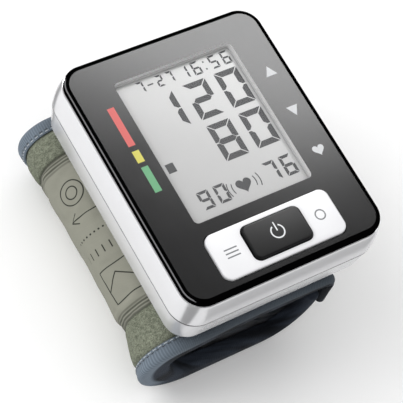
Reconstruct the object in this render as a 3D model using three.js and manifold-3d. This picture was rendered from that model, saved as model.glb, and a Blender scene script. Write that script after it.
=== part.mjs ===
// Wrist blood pressure monitor: a housing with display and keys, an air system and two cells,
// on a cuff that wraps round the wrist. Millimetres, +X display right, +Y display top, +Z up.
// The origin is on the floor under the middle of the display panel, with the cuff closed.
import * as THREE from "three";
import { mergeVertices } from "three/addons/utils/BufferGeometryUtils.js";
import Module from "manifold-3d";

const wasm = await Module();
wasm.setup();

// Clearances and facets
const fit_gap = 0.3;
const overrun = 1;
const merge_distance = 0.0001;
const corner_steps = 4;
const round_sides = 12;
const small_sides = 8;

// What the housing holds side by side, from the left: pump, valve and two cells. With the gaps
// between them they give the panel's width. The cells give its length, with room at each end for
// a contact, the bay's wall and a screw post
const pump_margin = 8.5;
const pump_width = 15;
const pump_valve_gap = 2.9;
const valve_radius = 4.6;
const valve_bay_gap = 5.07;
const bay_wall = 1.2;
const battery_side_gap = 0.5;
const battery_diameter = 10.5;
const battery_pitch = 11;
const battery_length = 44.5;
const cell_end_room = 17.85;
const case_wall = 2;
const foot_outset = 0.37;

const bay_width = bay_wall + battery_side_gap * 2 + battery_pitch + battery_diameter;
const air_width = pump_margin + pump_width + pump_valve_gap + valve_radius * 2 + valve_bay_gap;
const panel_width = air_width + bay_width + case_wall - foot_outset;
const panel_length = battery_length + cell_end_room * 2;

// Display panel and housing, seen from above
const panel_corner = 6.8;
const panel_thickness = 1.9;
const panel_edge_bevel = 0.45;
const panel_skirt_depth = 1.5;
const panel_skirt_wall = 1.5;
const case_rim_width = 2.2;
const floor_thickness = 2;
const least_corner = 0.6;
const ease_share = 0.3;

// Housing heights, measured down from the panel's face
const face_height = 58.5;
const parting_depth = 11.8;
const case_depth = 25.4;
const parting_flare = 1.46;
const top_outset = 0.2;
const base_rounding_height = 4.2;
const base_rounding_width = 5.4;
const saddle_radius = 80;
const saddle_rise = 3.9;
const wall_height_shares = [0, 0.4, 0.75, 0.95, 1];
const wall_outset_shares = [1, 0.91, 0.6, 0.28, 0];
const base_rounding_steps = 4;
const lip_depth = 1.5;
const lip_wall = 0.9;
const deck_thickness = 1.5;

const panel_under_z = face_height - panel_thickness;
const case_top_z = panel_under_z - fit_gap;
const skirt_foot_z = panel_under_z - panel_skirt_depth;
const deck_top_z = skirt_foot_z - fit_gap;
const deck_under_z = deck_top_z - deck_thickness;
const parting_z = face_height - parting_depth;
const base_z = face_height - case_depth;
const saddle_crown_z = base_z + saddle_rise;
const saddle_centre_z = saddle_crown_z - saddle_radius;

// Display window and liquid crystal cell, set out from the panel's edges
const display_x = 0.4;
const window_side_margin = 13.2;
const window_top_margin = 9.35;
const window_foot_margin = 22.35;
const window_corner = 1.5;
const lens_thickness = 1.1;
const lens_recess = 0.1;
const bezel_width = 0.5;
const bezel_depth = 1.5;
const bezel_lip = 0.5;
const cell_overlap = 1.1;
const cell_thickness = 2;
const frame_wall = 1;
const panel_pocket_depth = 0.7;

const window_width = panel_width - window_side_margin * 2;
const window_length = panel_length - window_top_margin - window_foot_margin;
const display_y = (window_foot_margin - window_top_margin) / 2;
const bezel_top_z = face_height - bezel_depth;
const cell_top_z = bezel_top_z - bezel_lip - fit_gap;
const cell_under_z = cell_top_z - cell_thickness;
const cell_width = window_width + cell_overlap * 2;
const cell_length = window_length + cell_overlap * 2;
const frame_width = cell_width + (fit_gap + frame_wall) * 2;
const frame_length = cell_length + (fit_gap + frame_wall) * 2;

// Circuit board
const board_thickness = 1.2;
const board_drop = 2.6;
const board_side_margin = 8;
const board_end_margin = 4.1;
const board_corner = 1.5;
const board_post_radius = 1.2;
const strip_width = 1.8;

const board_width = panel_width - board_side_margin * 2;
const board_length = panel_length - board_end_margin * 2;
const board_top_z = cell_under_z - board_drop;
const board_under_z = board_top_z - board_thickness;

// Keys
const key_x = 0.3;
const key_foot_margin = 10.7;
const key_side_margin = 12.5;
const key_length = 14.7;
const key_corner = 2.8;
const key_rise = 0.85;
const key_gap = 0.35;
const key_plate = 1.6;
const key_skirt_wall = 1.2;
const key_bevel = 0.5;
const key_flange = 1;
const key_flange_thickness = 1;
const key_foot_depth = 3.9;
const key_pivot_radius = 0.7;
const key_pivot_length = 0.8;
const key_post_inset = 5.5;
const key_post_radius = 1.4;
const key_tilt = THREE.MathUtils.degToRad(2.2);
const power_width = 19.2;
const power_length = 10.8;
const power_corner = 2;
const power_rise = 1.95;
const power_bevel = 0.5;
const power_ear = 1.2;
const power_ear_thickness = 0.8;
const power_ear_drop = 0.55;
const power_travel = 0.7;
const power_stem_radius = 1.5;
const switch_side = 5;
const switch_height = 1.4;
const actuator_radius = 1.2;
const actuator_gap = 0.1;

const key_y = key_foot_margin - panel_length / 2;
const key_width = panel_width - key_side_margin * 2;
const key_post_x = key_width / 2 - key_post_inset;
const key_foot_z = face_height - key_foot_depth;
const key_under_z = face_height + key_rise - key_plate;
const key_pivot_z = key_foot_z + key_flange_thickness / 2;
const actuator_z = key_foot_z - key_post_x * Math.sin(key_tilt) - actuator_gap;
const power_ear_top_z = key_under_z - power_ear_drop;
const power_under_z = power_ear_top_z - power_ear_thickness;
const power_stem_z = actuator_z + power_travel + actuator_gap;

// Cells and their contacts
const battery_nub_radius = 2.2;
const battery_nub_height = 0.9;
const battery_edge = 0.5;
const contact_thickness = 0.4;
const contact_width = 8;
const spring_length = 3.2;
const spring_wire = 0.25;
const spring_radius = 2.6;
const spring_turns = 4;
const spring_steps = 8;
const door_margin = 1.2;
const door_foot_height = 2.2;
const door_travel = 14;
const door_rib_radius = 0.35;
const door_rib_length = 16;
const door_rib_pitch = 1.6;
const door_rib_count = 3;
const door_rib_height_share = 0.62;

// Screws and the plate that carries the cuff
const screw_side_inset = 4.8;
const screw_end_inset = 4.9;
const screw_radius = 1.1;
const screw_length = 14;
const screw_head_radius = 2;
const screw_head_height = 1.3;
const screw_head_recess = 1.6;
const screw_slot_width = 0.7;
const screw_slot_length = 2.5;
const boss_radius = 2.8;
const plate_thickness = 1.2;
const plate_half_width = 17;
const plate_end_inset = 7.1;
const hook_x = 5;
const hook_inset = 2;
const hook_width = 4;
const hook_thickness = 1.2;
const hook_barb = 0.7;
const hook_reach = 1;

const screw_x = panel_width / 2 - screw_side_inset;
const screw_y = panel_length / 2 - screw_end_inset;
const plate_half_length = panel_length / 2 - plate_end_inset;
const hook_y = plate_half_length - hook_inset;

// Air system
const pump_height = 11;
const pump_round = 3;
const pump_head_length = 11;
const motor_length = 18;
const motor_end_y = 20;
const cradle_width = 12;
const cradle_thickness = 1.5;
const spigot_radius = 1.3;
const spigot_length = 2.6;
const air_tube_radius = 1.9;
const air_tube_front_y = -21;
const air_tube_rear_y = 1;
const socket_y = -12;
const socket_radius = 3;
const sensor_y = -5;
const sensor_side = 7.5;
const sensor_height = 2.9;
const side_spigot_y = -18.6;
const valve_length = 14;
const valve_gap_y = 8.5;
const valve_seat_share = 0.4;
const tube_bore = 1.6;
const tube_wall = 0.9;
const tube_drop_shares = [0.3, 0.6];
const nipple_radius = 1.5;
const nipple_bore = 0.7;
const nipple_flange_radius = 4;
const nipple_flange_thickness = 0.4;
const buzzer_end_inset = 5;
const buzzer_radius = 3.6;
const buzzer_height = 2.2;
const chip_radius = 6;
const chip_height = 1.1;
const chip_y = 9;

const pump_x = pump_margin + pump_width / 2 - panel_width / 2;
const air_x = pump_x + pump_width / 2 + pump_valve_gap + valve_radius;
const buzzer_x = pump_x;
const buzzer_y = board_length / 2 - buzzer_end_inset;

// Cuff: its outer surface seen from the front, then its layers from outside to inside.
// Height shares are of the housing's height over the floor, which the cuff carries
const cuff_half_length = 41.3;
const cuff_left = 36.7;
const cuff_split_height_share = 0.6344;
const rest_left = 20;
const rest_right = 6;
const strap_x = 25.2;
const strap_top_height_share = 0.831;
const strap_foot_height_share = 0.4653;
const strap_foot_lean = -0.5;
const saddle_right = 15;
const saddle_left = 17;
const lap_top_height_share = 0.6798;
const heel_drop_share = 0.4524;
const heel_reach = 8;
const lap_reach = 10;
const lap_drop_share = 0.4444;
const front_flare = 5;
const rear_flare = 2.6;
const flare_start_share = 0.74;
const flare_end_share = 0.34;
const thin_start_share = 0.07;
const thin_end_share = 0.3;
const lap_start_share = 0.74;
const inner_flare_share = 0.3;
const outer_thickness = 0.9;
const curler_thickness = 0.8;
const liner_thickness = 0.9;
const top_wall = 4.7;
const heel_wall = 5.4;
const binding_wall = 0.9;
const binding_width = 4.6;
const curler_margin = 5;
const bladder_margin = 4;
const bladder_least_thickness = 1;
const cuff_station_count = 20;
const strap_station_count = 6;
const width_shares = [-1, -0.84, -0.6, 0, 0.6, 0.84, 1];
const inner_shares = [0.86, 0.6, 0, -0.6, -0.86];

const cuff_split_z = base_z * cuff_split_height_share;
const strap_top_z = base_z * strap_top_height_share;
const strap_foot_z = base_z * strap_foot_height_share;
const lap_top_z = base_z * lap_top_height_share;
const heel_drop = cuff_split_z * heel_drop_share;
const lap_drop = lap_top_z * lap_drop_share;
const binding_span = binding_wall + fit_gap;
const lap_wall = outer_thickness + fit_gap + liner_thickness;
const cuff_split_x = -(cuff_left - binding_span);
const strap_path_x = strap_x - binding_span;
const lap_x = strap_path_x - outer_thickness - binding_span - fit_gap - binding_span;
const cuff_crown_z = saddle_crown_z - fit_gap - plate_thickness - fit_gap - binding_span;
const cuff_radius = cuff_crown_z - saddle_centre_z;

const white = new THREE.MeshStandardMaterial({ color: 0xe9e9ea, roughness: 0.25 });
const black = new THREE.MeshStandardMaterial({ color: 0x111214, roughness: 0.15 });
const charcoal = new THREE.MeshStandardMaterial({ color: 0x2b2c2e, roughness: 0.4 });
const clear = new THREE.MeshStandardMaterial({
  color: 0xdfe6e6,
  roughness: 0.05,
  transparent: true,
  opacity: 0.3,
});
const pale_grey = new THREE.MeshStandardMaterial({ color: 0xc9cbc9, roughness: 0.4 });
const board_green = new THREE.MeshStandardMaterial({ color: 0x1d6b3c, roughness: 0.5 });
const steel = new THREE.MeshStandardMaterial({ color: 0xb9bcc0, roughness: 0.3, metalness: 1 });
const copper_top = new THREE.MeshStandardMaterial({ color: 0x8f5a2b, roughness: 0.35 });
const rubber = new THREE.MeshStandardMaterial({ color: 0xb8b4a8, roughness: 0.6 });
const nap_cloth = new THREE.MeshStandardMaterial({ color: 0x8a8f7c, roughness: 0.95 });
const navy_cloth = new THREE.MeshStandardMaterial({ color: 0x1c222b, roughness: 0.8 });
const tape_cloth = new THREE.MeshStandardMaterial({ color: 0x566473, roughness: 0.85 });
const film = new THREE.MeshStandardMaterial({ color: 0x6f7f9b, roughness: 0.5 });

const monitor = new THREE.Group();

function solid(geometry) {
  const plain = geometry.index ? geometry.toNonIndexed() : geometry.clone();
  plain.deleteAttribute("normal");
  plain.deleteAttribute("uv");
  const merged = mergeVertices(plain, merge_distance);
  return new wasm.Manifold(
    new wasm.Mesh({
      numProp: 3,
      vertProperties: merged.attributes.position.array,
      triVerts: new Uint32Array(merged.index.array),
    }),
  );
}

function put(name, body, material) {
  const mesh = body.getMesh();
  const geometry = new THREE.BufferGeometry();
  geometry.setAttribute("position", new THREE.BufferAttribute(mesh.vertProperties, 3));
  geometry.setIndex(new THREE.BufferAttribute(mesh.triVerts, 1));
  const piece = new THREE.Mesh(geometry.toNonIndexed(), material);
  piece.geometry.computeVertexNormals();
  piece.name = name;
  monitor.add(piece);
}

const join = (first, ...rest) => rest.reduce((whole, piece) => whole.add(piece), first);
const cut = (first, ...rest) => rest.reduce((whole, piece) => whole.subtract(piece), first);
const between = (low, high, share) => low + (high - low) * share;

function block(x0, x1, y0, y1, z0, z1) {
  const box = new THREE.BoxGeometry(x1 - x0, y1 - y0, z1 - z0);
  return solid(box.translate((x0 + x1) / 2, (y0 + y1) / 2, (z0 + z1) / 2));
}

function post(x, y, z0, z1, radius, sides = round_sides) {
  const pillar = new THREE.CylinderGeometry(radius, radius, z1 - z0, sides);
  return solid(pillar.rotateX(Math.PI / 2).translate(x, y, (z0 + z1) / 2));
}

function shaft(x, z, y0, y1, radius, sides = round_sides) {
  const bar = new THREE.CylinderGeometry(radius, radius, y1 - y0, sides);
  return solid(bar.translate(x, (y0 + y1) / 2, z));
}

function crossbar(y, z, x0, x1, radius, sides = round_sides) {
  const bar = new THREE.CylinderGeometry(radius, radius, x1 - x0, sides);
  return solid(bar.rotateZ(Math.PI / 2).translate((x0 + x1) / 2, y, z));
}

// A rounded rectangle lying in XY
function roundedShape(width, length, radius) {
  const x = width / 2 - radius;
  const y = length / 2 - radius;
  const shape = new THREE.Shape();
  shape.absarc(x, y, radius, 0, Math.PI / 2);
  shape.absarc(-x, y, radius, Math.PI / 2, Math.PI);
  shape.absarc(-x, -y, radius, Math.PI, Math.PI * 1.5);
  shape.absarc(x, -y, radius, Math.PI * 1.5, Math.PI * 2);
  return shape;
}

function slab(x, y, width, length, radius, z0, z1) {
  const shape = roundedShape(width, length, radius);
  const options = { depth: z1 - z0, bevelEnabled: false, curveSegments: corner_steps };
  return solid(new THREE.ExtrudeGeometry(shape, options).translate(x, y, z0));
}

// A shape drawn in XZ and carried along Y
function alongY(shape, y0, y1, steps = corner_steps) {
  const options = { depth: y1 - y0, bevelEnabled: false, curveSegments: steps };
  const geometry = new THREE.ExtrudeGeometry(shape, options);
  return solid(geometry.rotateX(Math.PI / 2).translate(0, y1, 0));
}

// Closed rings of as many points each, skinned from the first to the last and capped
function skinned(rings, capAt) {
  const points = rings.flat();
  const count = rings[0].length;
  const faces = [];
  for (let k = 0; k + 1 < rings.length; k++) {
    for (let i = 0; i < count; i++) {
      const a = k * count + i;
      const b = k * count + ((i + 1) % count);
      faces.push(a, b, b + count, a, b + count, a + count);
    }
  }
  const last = (rings.length - 1) * count;
  for (const [a, b, c] of capAt) {
    faces.push(c, b, a, last + a, last + b, last + c);
  }
  const geometry = new THREE.BufferGeometry().setFromPoints(points);
  geometry.setIndex(faces);
  return solid(geometry);
}

function ring(x, y, width, length, radius, z) {
  const flat = roundedShape(width, length, radius).getPoints(corner_steps);
  if (flat[0].distanceTo(flat[flat.length - 1]) < merge_distance) flat.pop();
  return flat.map((p) => new THREE.Vector3(p.x + x, p.y + y, z));
}

function caseRing(outset, z) {
  const radius = Math.max(panel_corner + outset, least_corner);
  return ring(0, 0, panel_width + outset * 2, panel_length + outset * 2, radius, z);
}

// A rounded block whose upper edge is eased; outsets are measured from its nominal outline
function easedBlock(width, length, radius, z0, z1, bevel) {
  const at = (outset, z) =>
    ring(key_x, key_y, width + outset * 2, length + outset * 2, radius + outset, z);
  return barrel([
    at(0, z0),
    at(0, z1 - bevel),
    at(-bevel * ease_share, z1 - bevel * ease_share),
    at(-bevel, z1),
  ]);
}

function barrel(rings) {
  const fan = rings[0].slice(2).map((p, i) => [0, i + 1, i + 2]);
  return skinned(rings, fan);
}

// The housing's side, from its base up: heights with the outset of the wall there
const side_profile = [];
for (let k = 0; k <= base_rounding_steps; k++) {
  const turn = (k / base_rounding_steps) * (Math.PI / 2);
  side_profile.push([
    base_z + base_rounding_height * (1 - Math.cos(turn)),
    foot_outset - base_rounding_width * (1 - Math.sin(turn)),
  ]);
}
wall_height_shares.forEach((share, k) => {
  side_profile.push([
    between(parting_z, case_top_z, share),
    between(top_outset, parting_flare, wall_outset_shares[k]),
  ]);
});

function sideOutset(z) {
  const k = Math.max(1, side_profile.findIndex(([height]) => height >= z));
  const [low_z, low_outset] = side_profile[k - 1];
  const [high_z, high_outset] = side_profile[k];
  return between(low_outset, high_outset, (z - low_z) / (high_z - low_z));
}

function housingSolid(z0, z1, inset) {
  const inside = side_profile.map(([z]) => z).filter((z) => z > z0 && z < z1);
  return barrel([z0, ...inside, z1].map((z) => caseRing(sideOutset(z) - inset, z)));
}

// Everything under an arc that runs along Y over the wrist
function underArc(radius, half_width, foot_z) {
  const angle = Math.acos(half_width / radius);
  const shape = new THREE.Shape();
  shape.moveTo(-half_width, foot_z);
  shape.lineTo(half_width, foot_z);
  shape.absarc(0, saddle_centre_z, radius, angle, Math.PI - angle);
  return alongY(shape, -panel_length, panel_length, round_sides);
}

function saddle(radius) {
  return underArc(radius, panel_width / 2, saddle_centre_z);
}

const floorZ = (x, rise = 0) =>
  Math.max(
    base_z + floor_thickness + rise,
    saddle_centre_z + Math.sqrt((saddle_radius + floor_thickness + rise) ** 2 - x * x),
  );

const screw_places = [
  [-screw_x, -screw_y],
  [screw_x, -screw_y],
  [screw_x, screw_y],
  [-screw_x, screw_y],
];
const screw_head_z = base_z + screw_head_recess;
const screw_tip_z = screw_head_z + screw_head_height + screw_length;

const recess_width = panel_width - case_rim_width * 2;
const recess_length = panel_length - case_rim_width * 2;
const recess_corner = panel_corner - case_rim_width;
const key_slot_width = key_width + key_flange * 2 + fit_gap * 2;
const key_slot_length = key_length + key_gap * 2;

// White upper case: outer wall, deck under the panel, screw bosses and the key's bearing notches
function topCase() {
  const foot_z = parting_z + fit_gap / 2;
  const frame_slot_width = frame_width + fit_gap * 2;
  const frame_slot_length = frame_length + fit_gap * 2;
  let body = housingSolid(foot_z, case_top_z, 0);
  body = cut(
    body,
    housingSolid(foot_z - overrun, deck_under_z, case_wall),
    slab(0, 0, recess_width, recess_length, recess_corner, deck_top_z, case_top_z + overrun),
  );
  const lip_foot_z = parting_z - lip_depth;
  const lip_top_z = foot_z + lip_depth;
  const lip_inset = case_wall + fit_gap;
  let lip = cut(
    housingSolid(lip_foot_z, lip_top_z, lip_inset),
    housingSolid(lip_foot_z - overrun, lip_top_z + overrun, lip_inset + lip_wall),
    doorBay(lip_wall),
  );
  for (const [x, y] of screw_places) {
    lip = lip.subtract(post(x, y, lip_foot_z - overrun, foot_z, boss_radius + fit_gap));
  }
  const web = cut(
    housingSolid(foot_z, lip_top_z, case_wall / 2),
    housingSolid(foot_z - overrun, lip_top_z + overrun, lip_inset + lip_wall),
  );
  body = join(body, lip, web);
  for (const [x, y] of screw_places) {
    body = body.add(post(x, y, parting_z + fit_gap / 2, deck_top_z, boss_radius));
  }
  for (const [x, y] of board_posts) {
    body = body.add(post(x, y, board_top_z + fit_gap, deck_top_z, board_post_radius));
  }
  body = cut(
    body,
    slab(
      display_x,
      display_y,
      frame_slot_width,
      frame_slot_length,
      window_corner,
      deck_under_z - overrun,
      deck_top_z + overrun,
    ),
    slab(
      key_x,
      key_y,
      key_slot_width,
      key_slot_length,
      least_corner,
      deck_under_z - overrun,
      deck_top_z + overrun,
    ),
    shaft(
      key_x,
      key_pivot_z,
      key_y - key_slot_length / 2 - key_pivot_length - fit_gap,
      key_y + key_slot_length / 2 + key_pivot_length + fit_gap,
      key_pivot_radius + fit_gap,
    ),
  );
  for (const [x, y] of screw_places) {
    const pilot = post(x, y, parting_z - overrun, screw_tip_z + fit_gap, screw_radius + fit_gap);
    body = body.subtract(pilot);
  }
  return body;
}

// Cells side by side over the saddle, the outer one behind the door
const battery_radius = battery_diameter / 2;
const outer_battery_x =
  panel_width / 2 + foot_outset - case_wall - battery_side_gap - battery_radius;
const battery_x = [outer_battery_x - battery_pitch, outer_battery_x];
const seat_radius = saddle_radius + floor_thickness + fit_gap + battery_radius;
const battery_z = battery_x.map((x) =>
  Math.max(
    base_z + floor_thickness + fit_gap + battery_radius,
    saddle_centre_z + Math.sqrt(seat_radius ** 2 - x * x),
  ),
);
const contact_y = battery_length / 2 + fit_gap + spring_length;
const bay_end_y = contact_y + contact_thickness + fit_gap;
const bay_left_x = battery_x[0] - battery_radius - battery_side_gap;
const door_half_length = bay_end_y - bay_wall;
const door_foot_z = base_z + door_foot_height;

const board_posts = [
  [-board_width / 2 + board_post_radius * 2, board_length / 2 - board_post_radius],
  [board_width / 2 - board_post_radius * 2, board_length / 2 - board_post_radius],
];

// The space in the right wall that the door fills, widened by a margin
function doorBay(margin) {
  return block(
    panel_width / 2 + sideOutset(door_foot_z - margin) - case_wall - margin,
    panel_width,
    -door_half_length - margin,
    door_half_length + margin,
    door_foot_z - margin,
    parting_z + margin,
  );
}

// The lower case before the door is cut from it
function bottomShell() {
  const rim_z = parting_z - fit_gap / 2;
  const outside = cut(housingSolid(base_z, rim_z, 0), saddle(saddle_radius));
  const hollow = housingSolid(base_z + floor_thickness, parting_z + overrun, case_wall);
  return outside.subtract(hollow.subtract(saddle(saddle_radius + floor_thickness)));
}

function onFloor(x0, x1, y0, y1, top_z) {
  const rib = block(x0, x1, y0, y1, base_z, top_z);
  return rib
    .intersect(housingSolid(base_z, parting_z - fit_gap / 2, case_wall / 2))
    .subtract(saddle(saddle_radius + floor_thickness / 2));
}

// White lower case: saddle floor, battery bay, pump cradle, screw posts and slots for the cuff plate
function bottomCase() {
  const bay_top_z = board_under_z - fit_gap;
  const bay_right_x = panel_width / 2 - case_wall - base_rounding_width / 2;
  let body = bottomShell().subtract(doorBay(fit_gap));
  body = join(
    body,
    onFloor(bay_left_x - bay_wall, bay_left_x, -bay_end_y, bay_end_y, bay_top_z),
    onFloor(bay_left_x - bay_wall, bay_right_x, bay_end_y, bay_end_y + bay_wall, bay_top_z),
    onFloor(bay_left_x - bay_wall, bay_right_x, -bay_end_y - bay_wall, -bay_end_y, bay_top_z),
  );
  const cradle_top_z = pump_z - pump_height / 2 - fit_gap;
  for (const y of [motor_end_y - motor_length / 4, motor_end_y - motor_length - pump_head_length / 2]) {
    body = body.add(
      onFloor(
        pump_x - cradle_width / 2,
        pump_x + cradle_width / 2,
        y - cradle_thickness / 2,
        y + cradle_thickness / 2,
        cradle_top_z,
      ),
    );
  }
  body = body.add(
    onFloor(
      air_x - valve_radius,
      air_x + valve_radius,
      valve_front_y + valve_length / 3,
      valve_front_y + valve_length / 3 + cradle_thickness,
      valve_z - valve_radius * valve_seat_share,
    ).subtract(shaft(air_x, valve_z, -panel_length, panel_length, valve_radius + fit_gap)),
  );
  for (const [x, y] of board_posts) {
    body = body.add(
      onFloor(
        x - board_post_radius,
        x + board_post_radius,
        y - board_post_radius,
        y + board_post_radius,
        board_under_z - fit_gap,
      ),
    );
  }
  for (const [x, y] of screw_places) {
    const boss = post(x, y, base_z, parting_z - fit_gap / 2, boss_radius);
    body = body.add(boss.intersect(housingSolid(base_z, parting_z - fit_gap / 2, 0)));
  }
  for (const [x, y] of screw_places) {
    body = cut(
      body,
      post(x, y, base_z - overrun, screw_head_z + screw_head_height + fit_gap, screw_head_radius + fit_gap),
      post(x, y, base_z, parting_z + overrun, screw_radius + fit_gap),
    );
  }
  for (const x of [-hook_x, hook_x]) {
    for (const side of [-1, 1]) {
      const y = side * hook_y;
      body = body.subtract(
        block(
          x - hook_width / 2 - fit_gap,
          x + hook_width / 2 + fit_gap,
          y - hook_thickness / 2 - fit_gap - hook_barb,
          y + hook_thickness / 2 + fit_gap + hook_barb,
          base_z,
          floorZ(0) + fit_gap,
        ),
      );
    }
  }
  return body.subtract(
    post(air_x, socket_y, base_z, floorZ(0) + overrun, nipple_radius + fit_gap),
  );
}

// Door in the right wall, with finger ribs outside
function batteryDoor() {
  let door = bottomShell().intersect(doorBay(0));
  const rib_z = between(door_foot_z, parting_z, door_rib_height_share);
  for (let k = 0; k < door_rib_count; k++) {
    const z = rib_z + (k - (door_rib_count - 1) / 2) * door_rib_pitch;
    const x = panel_width / 2 + sideOutset(z);
    const rib = shaft(x, z, -door_rib_length / 2, door_rib_length / 2, door_rib_radius, small_sides);
    door = door.add(rib);
  }
  return door;
}

function frontPanel() {
  const thick = panel_thickness - panel_edge_bevel;
  const face = barrel([
    caseRing(0, panel_under_z),
    caseRing(0, panel_under_z + thick),
    caseRing(-panel_edge_bevel * ease_share, face_height - panel_edge_bevel * ease_share),
    caseRing(-panel_edge_bevel, face_height),
  ]);
  const skirt_outset = -case_rim_width - fit_gap;
  const skirt = cut(
    barrel([caseRing(skirt_outset, skirt_foot_z), caseRing(skirt_outset, panel_under_z + overrun)]),
    barrel([
      caseRing(skirt_outset - panel_skirt_wall, skirt_foot_z - overrun),
      caseRing(skirt_outset - panel_skirt_wall, panel_under_z),
    ]),
  );
  const key_hole_width = key_width + key_gap * 2;
  const key_hole_length = key_length + key_gap * 2;
  return cut(
    face.add(skirt),
    slab(
      display_x,
      display_y,
      window_width,
      window_length,
      window_corner,
      skirt_foot_z,
      face_height + overrun,
    ),
    slab(
      display_x,
      display_y,
      frame_width + fit_gap * 2,
      frame_length + fit_gap * 2,
      window_corner,
      skirt_foot_z,
      panel_under_z + panel_pocket_depth,
    ),
    slab(
      key_x,
      key_y,
      key_hole_width,
      key_hole_length,
      key_corner + key_gap,
      skirt_foot_z,
      face_height + overrun,
    ),
    shaft(
      key_x,
      key_pivot_z,
      key_y - key_slot_length / 2 - key_pivot_length - fit_gap,
      key_y + key_slot_length / 2 + key_pivot_length + fit_gap,
      key_pivot_radius + fit_gap,
    ),
  );
}

function displayWindow() {
  const top_z = face_height - lens_recess;
  return slab(
    display_x,
    display_y,
    window_width - fit_gap * 2,
    window_length - fit_gap * 2,
    window_corner - fit_gap,
    top_z - lens_thickness,
    top_z,
  );
}

// Grey frame that holds the liquid crystal cell on the board and borders it under the window
function lcdFrame() {
  const opening_width = window_width - bezel_width * 2;
  const opening_length = window_length - bezel_width * 2;
  return cut(
    slab(
      display_x,
      display_y,
      frame_width,
      frame_length,
      window_corner,
      board_top_z + fit_gap,
      bezel_top_z,
    ),
    slab(
      display_x,
      display_y,
      cell_width + fit_gap * 2,
      cell_length + fit_gap * 2,
      least_corner,
      board_top_z - overrun,
      bezel_top_z - bezel_lip,
    ),
    slab(
      display_x,
      display_y,
      opening_width,
      opening_length,
      least_corner,
      board_top_z,
      face_height,
    ),
  );
}

// One white plate for the left and right keys, rocking on two short trunnions
function modeKey() {
  const top_z = face_height + key_rise;
  const flange_width = key_width + key_flange * 2;
  let body = join(
    easedBlock(key_width, key_length, key_corner, key_foot_z, top_z, key_bevel),
    slab(
      key_x,
      key_y,
      flange_width,
      key_length - key_corner,
      least_corner,
      key_foot_z,
      key_foot_z + key_flange_thickness,
    ),
    shaft(
      key_x,
      key_pivot_z,
      key_y - key_slot_length / 2 - key_pivot_length,
      key_y + key_slot_length / 2 + key_pivot_length,
      key_pivot_radius,
      small_sides,
    ),
  );
  body = cut(
    body,
    slab(
      key_x,
      key_y,
      key_width - key_skirt_wall * 2,
      key_length - key_skirt_wall * 2,
      key_corner - key_skirt_wall,
      key_foot_z - overrun,
      key_under_z,
    ),
    slab(
      key_x,
      key_y,
      power_width + key_gap * 2,
      power_length + key_gap * 2,
      power_corner + key_gap,
      key_foot_z,
      top_z + overrun,
    ),
  );
  for (const side of [-1, 1]) {
    const x = key_x + side * key_post_x;
    body = body.add(post(x, key_y, key_foot_z, key_under_z + key_plate / 2, key_post_radius));
  }
  return body;
}

function powerButton() {
  const top_z = face_height + power_rise;
  return join(
    easedBlock(power_width, power_length, power_corner, power_under_z, top_z, power_bevel),
    slab(
      key_x,
      key_y,
      power_width + power_ear * 2,
      power_length - power_corner * 2,
      least_corner,
      power_under_z,
      power_ear_top_z,
    ),
    post(key_x, key_y, power_stem_z, power_under_z + power_ear_thickness, power_stem_radius),
  );
}

function tactSwitch(x) {
  const foot_z = board_top_z + fit_gap;
  const half = switch_side / 2;
  return join(
    block(x - half, x + half, key_y - half, key_y + half, foot_z, foot_z + switch_height),
    post(x, key_y, foot_z + switch_height / 2, actuator_z, actuator_radius),
  );
}

function mainBoard() {
  return slab(0, 0, board_width, board_length, board_corner, board_under_z, board_top_z);
}

function connectorStrip(side) {
  const y = display_y + side * (cell_length / 2 - strip_width);
  const half = cell_width / 2 - strip_width;
  return block(
    display_x - half,
    display_x + half,
    y - strip_width / 2,
    y + strip_width / 2,
    board_top_z + fit_gap,
    cell_under_z - fit_gap,
  );
}

// A blob of resin over the controller die, domed
function controllerChip() {
  const foot_z = board_top_z + fit_gap;
  const profile = [new THREE.Vector2(0, 0), new THREE.Vector2(chip_radius, 0)];
  for (let k = 1; k < corner_steps; k++) {
    const turn = (k / corner_steps) * (Math.PI / 2);
    profile.push(new THREE.Vector2(chip_radius * Math.cos(turn), chip_height * Math.sin(turn)));
  }
  profile.push(new THREE.Vector2(0, chip_height));
  const dome = new THREE.LatheGeometry(profile, round_sides);
  return solid(dome.rotateX(Math.PI / 2).translate(display_x, chip_y, foot_z));
}

function battery(index) {
  const half = battery_length / 2;
  const shoulder = half - battery_nub_height;
  const outline = [
    [0, -half],
    [battery_radius - battery_edge, -half],
    [battery_radius, -half + battery_edge],
    [battery_radius, shoulder - battery_edge],
    [battery_radius - battery_edge, shoulder],
    [battery_nub_radius, shoulder],
    [battery_nub_radius, half],
    [0, half],
  ];
  const cell = new THREE.LatheGeometry(
    outline.map(([r, y]) => new THREE.Vector2(r, y)),
    round_sides,
  );
  if (index === 0) cell.rotateX(Math.PI);
  return solid(cell.translate(battery_x[index], 0, battery_z[index]));
}

function contactSpring(index, side) {
  const coil = [];
  const total = spring_turns * spring_steps;
  for (let k = 0; k <= total; k++) {
    const turn = (k / spring_steps) * Math.PI * 2;
    const radius = between(spring_radius, spring_radius / 2, k / total);
    const reach = between(0, spring_length - spring_wire, k / total);
    coil.push(
      new THREE.Vector3(
        battery_x[index] + radius * Math.cos(turn),
        side * (contact_y - reach),
        battery_z[index] + radius * Math.sin(turn),
      ),
    );
  }
  const wire = new THREE.Shape();
  wire.absarc(0, 0, spring_wire, 0, Math.PI * 2);
  const options = {
    steps: total,
    curveSegments: 3,
    bevelEnabled: false,
    extrudePath: new THREE.CatmullRomCurve3(coil),
  };
  return solid(new THREE.ExtrudeGeometry(wire, options));
}

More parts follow.
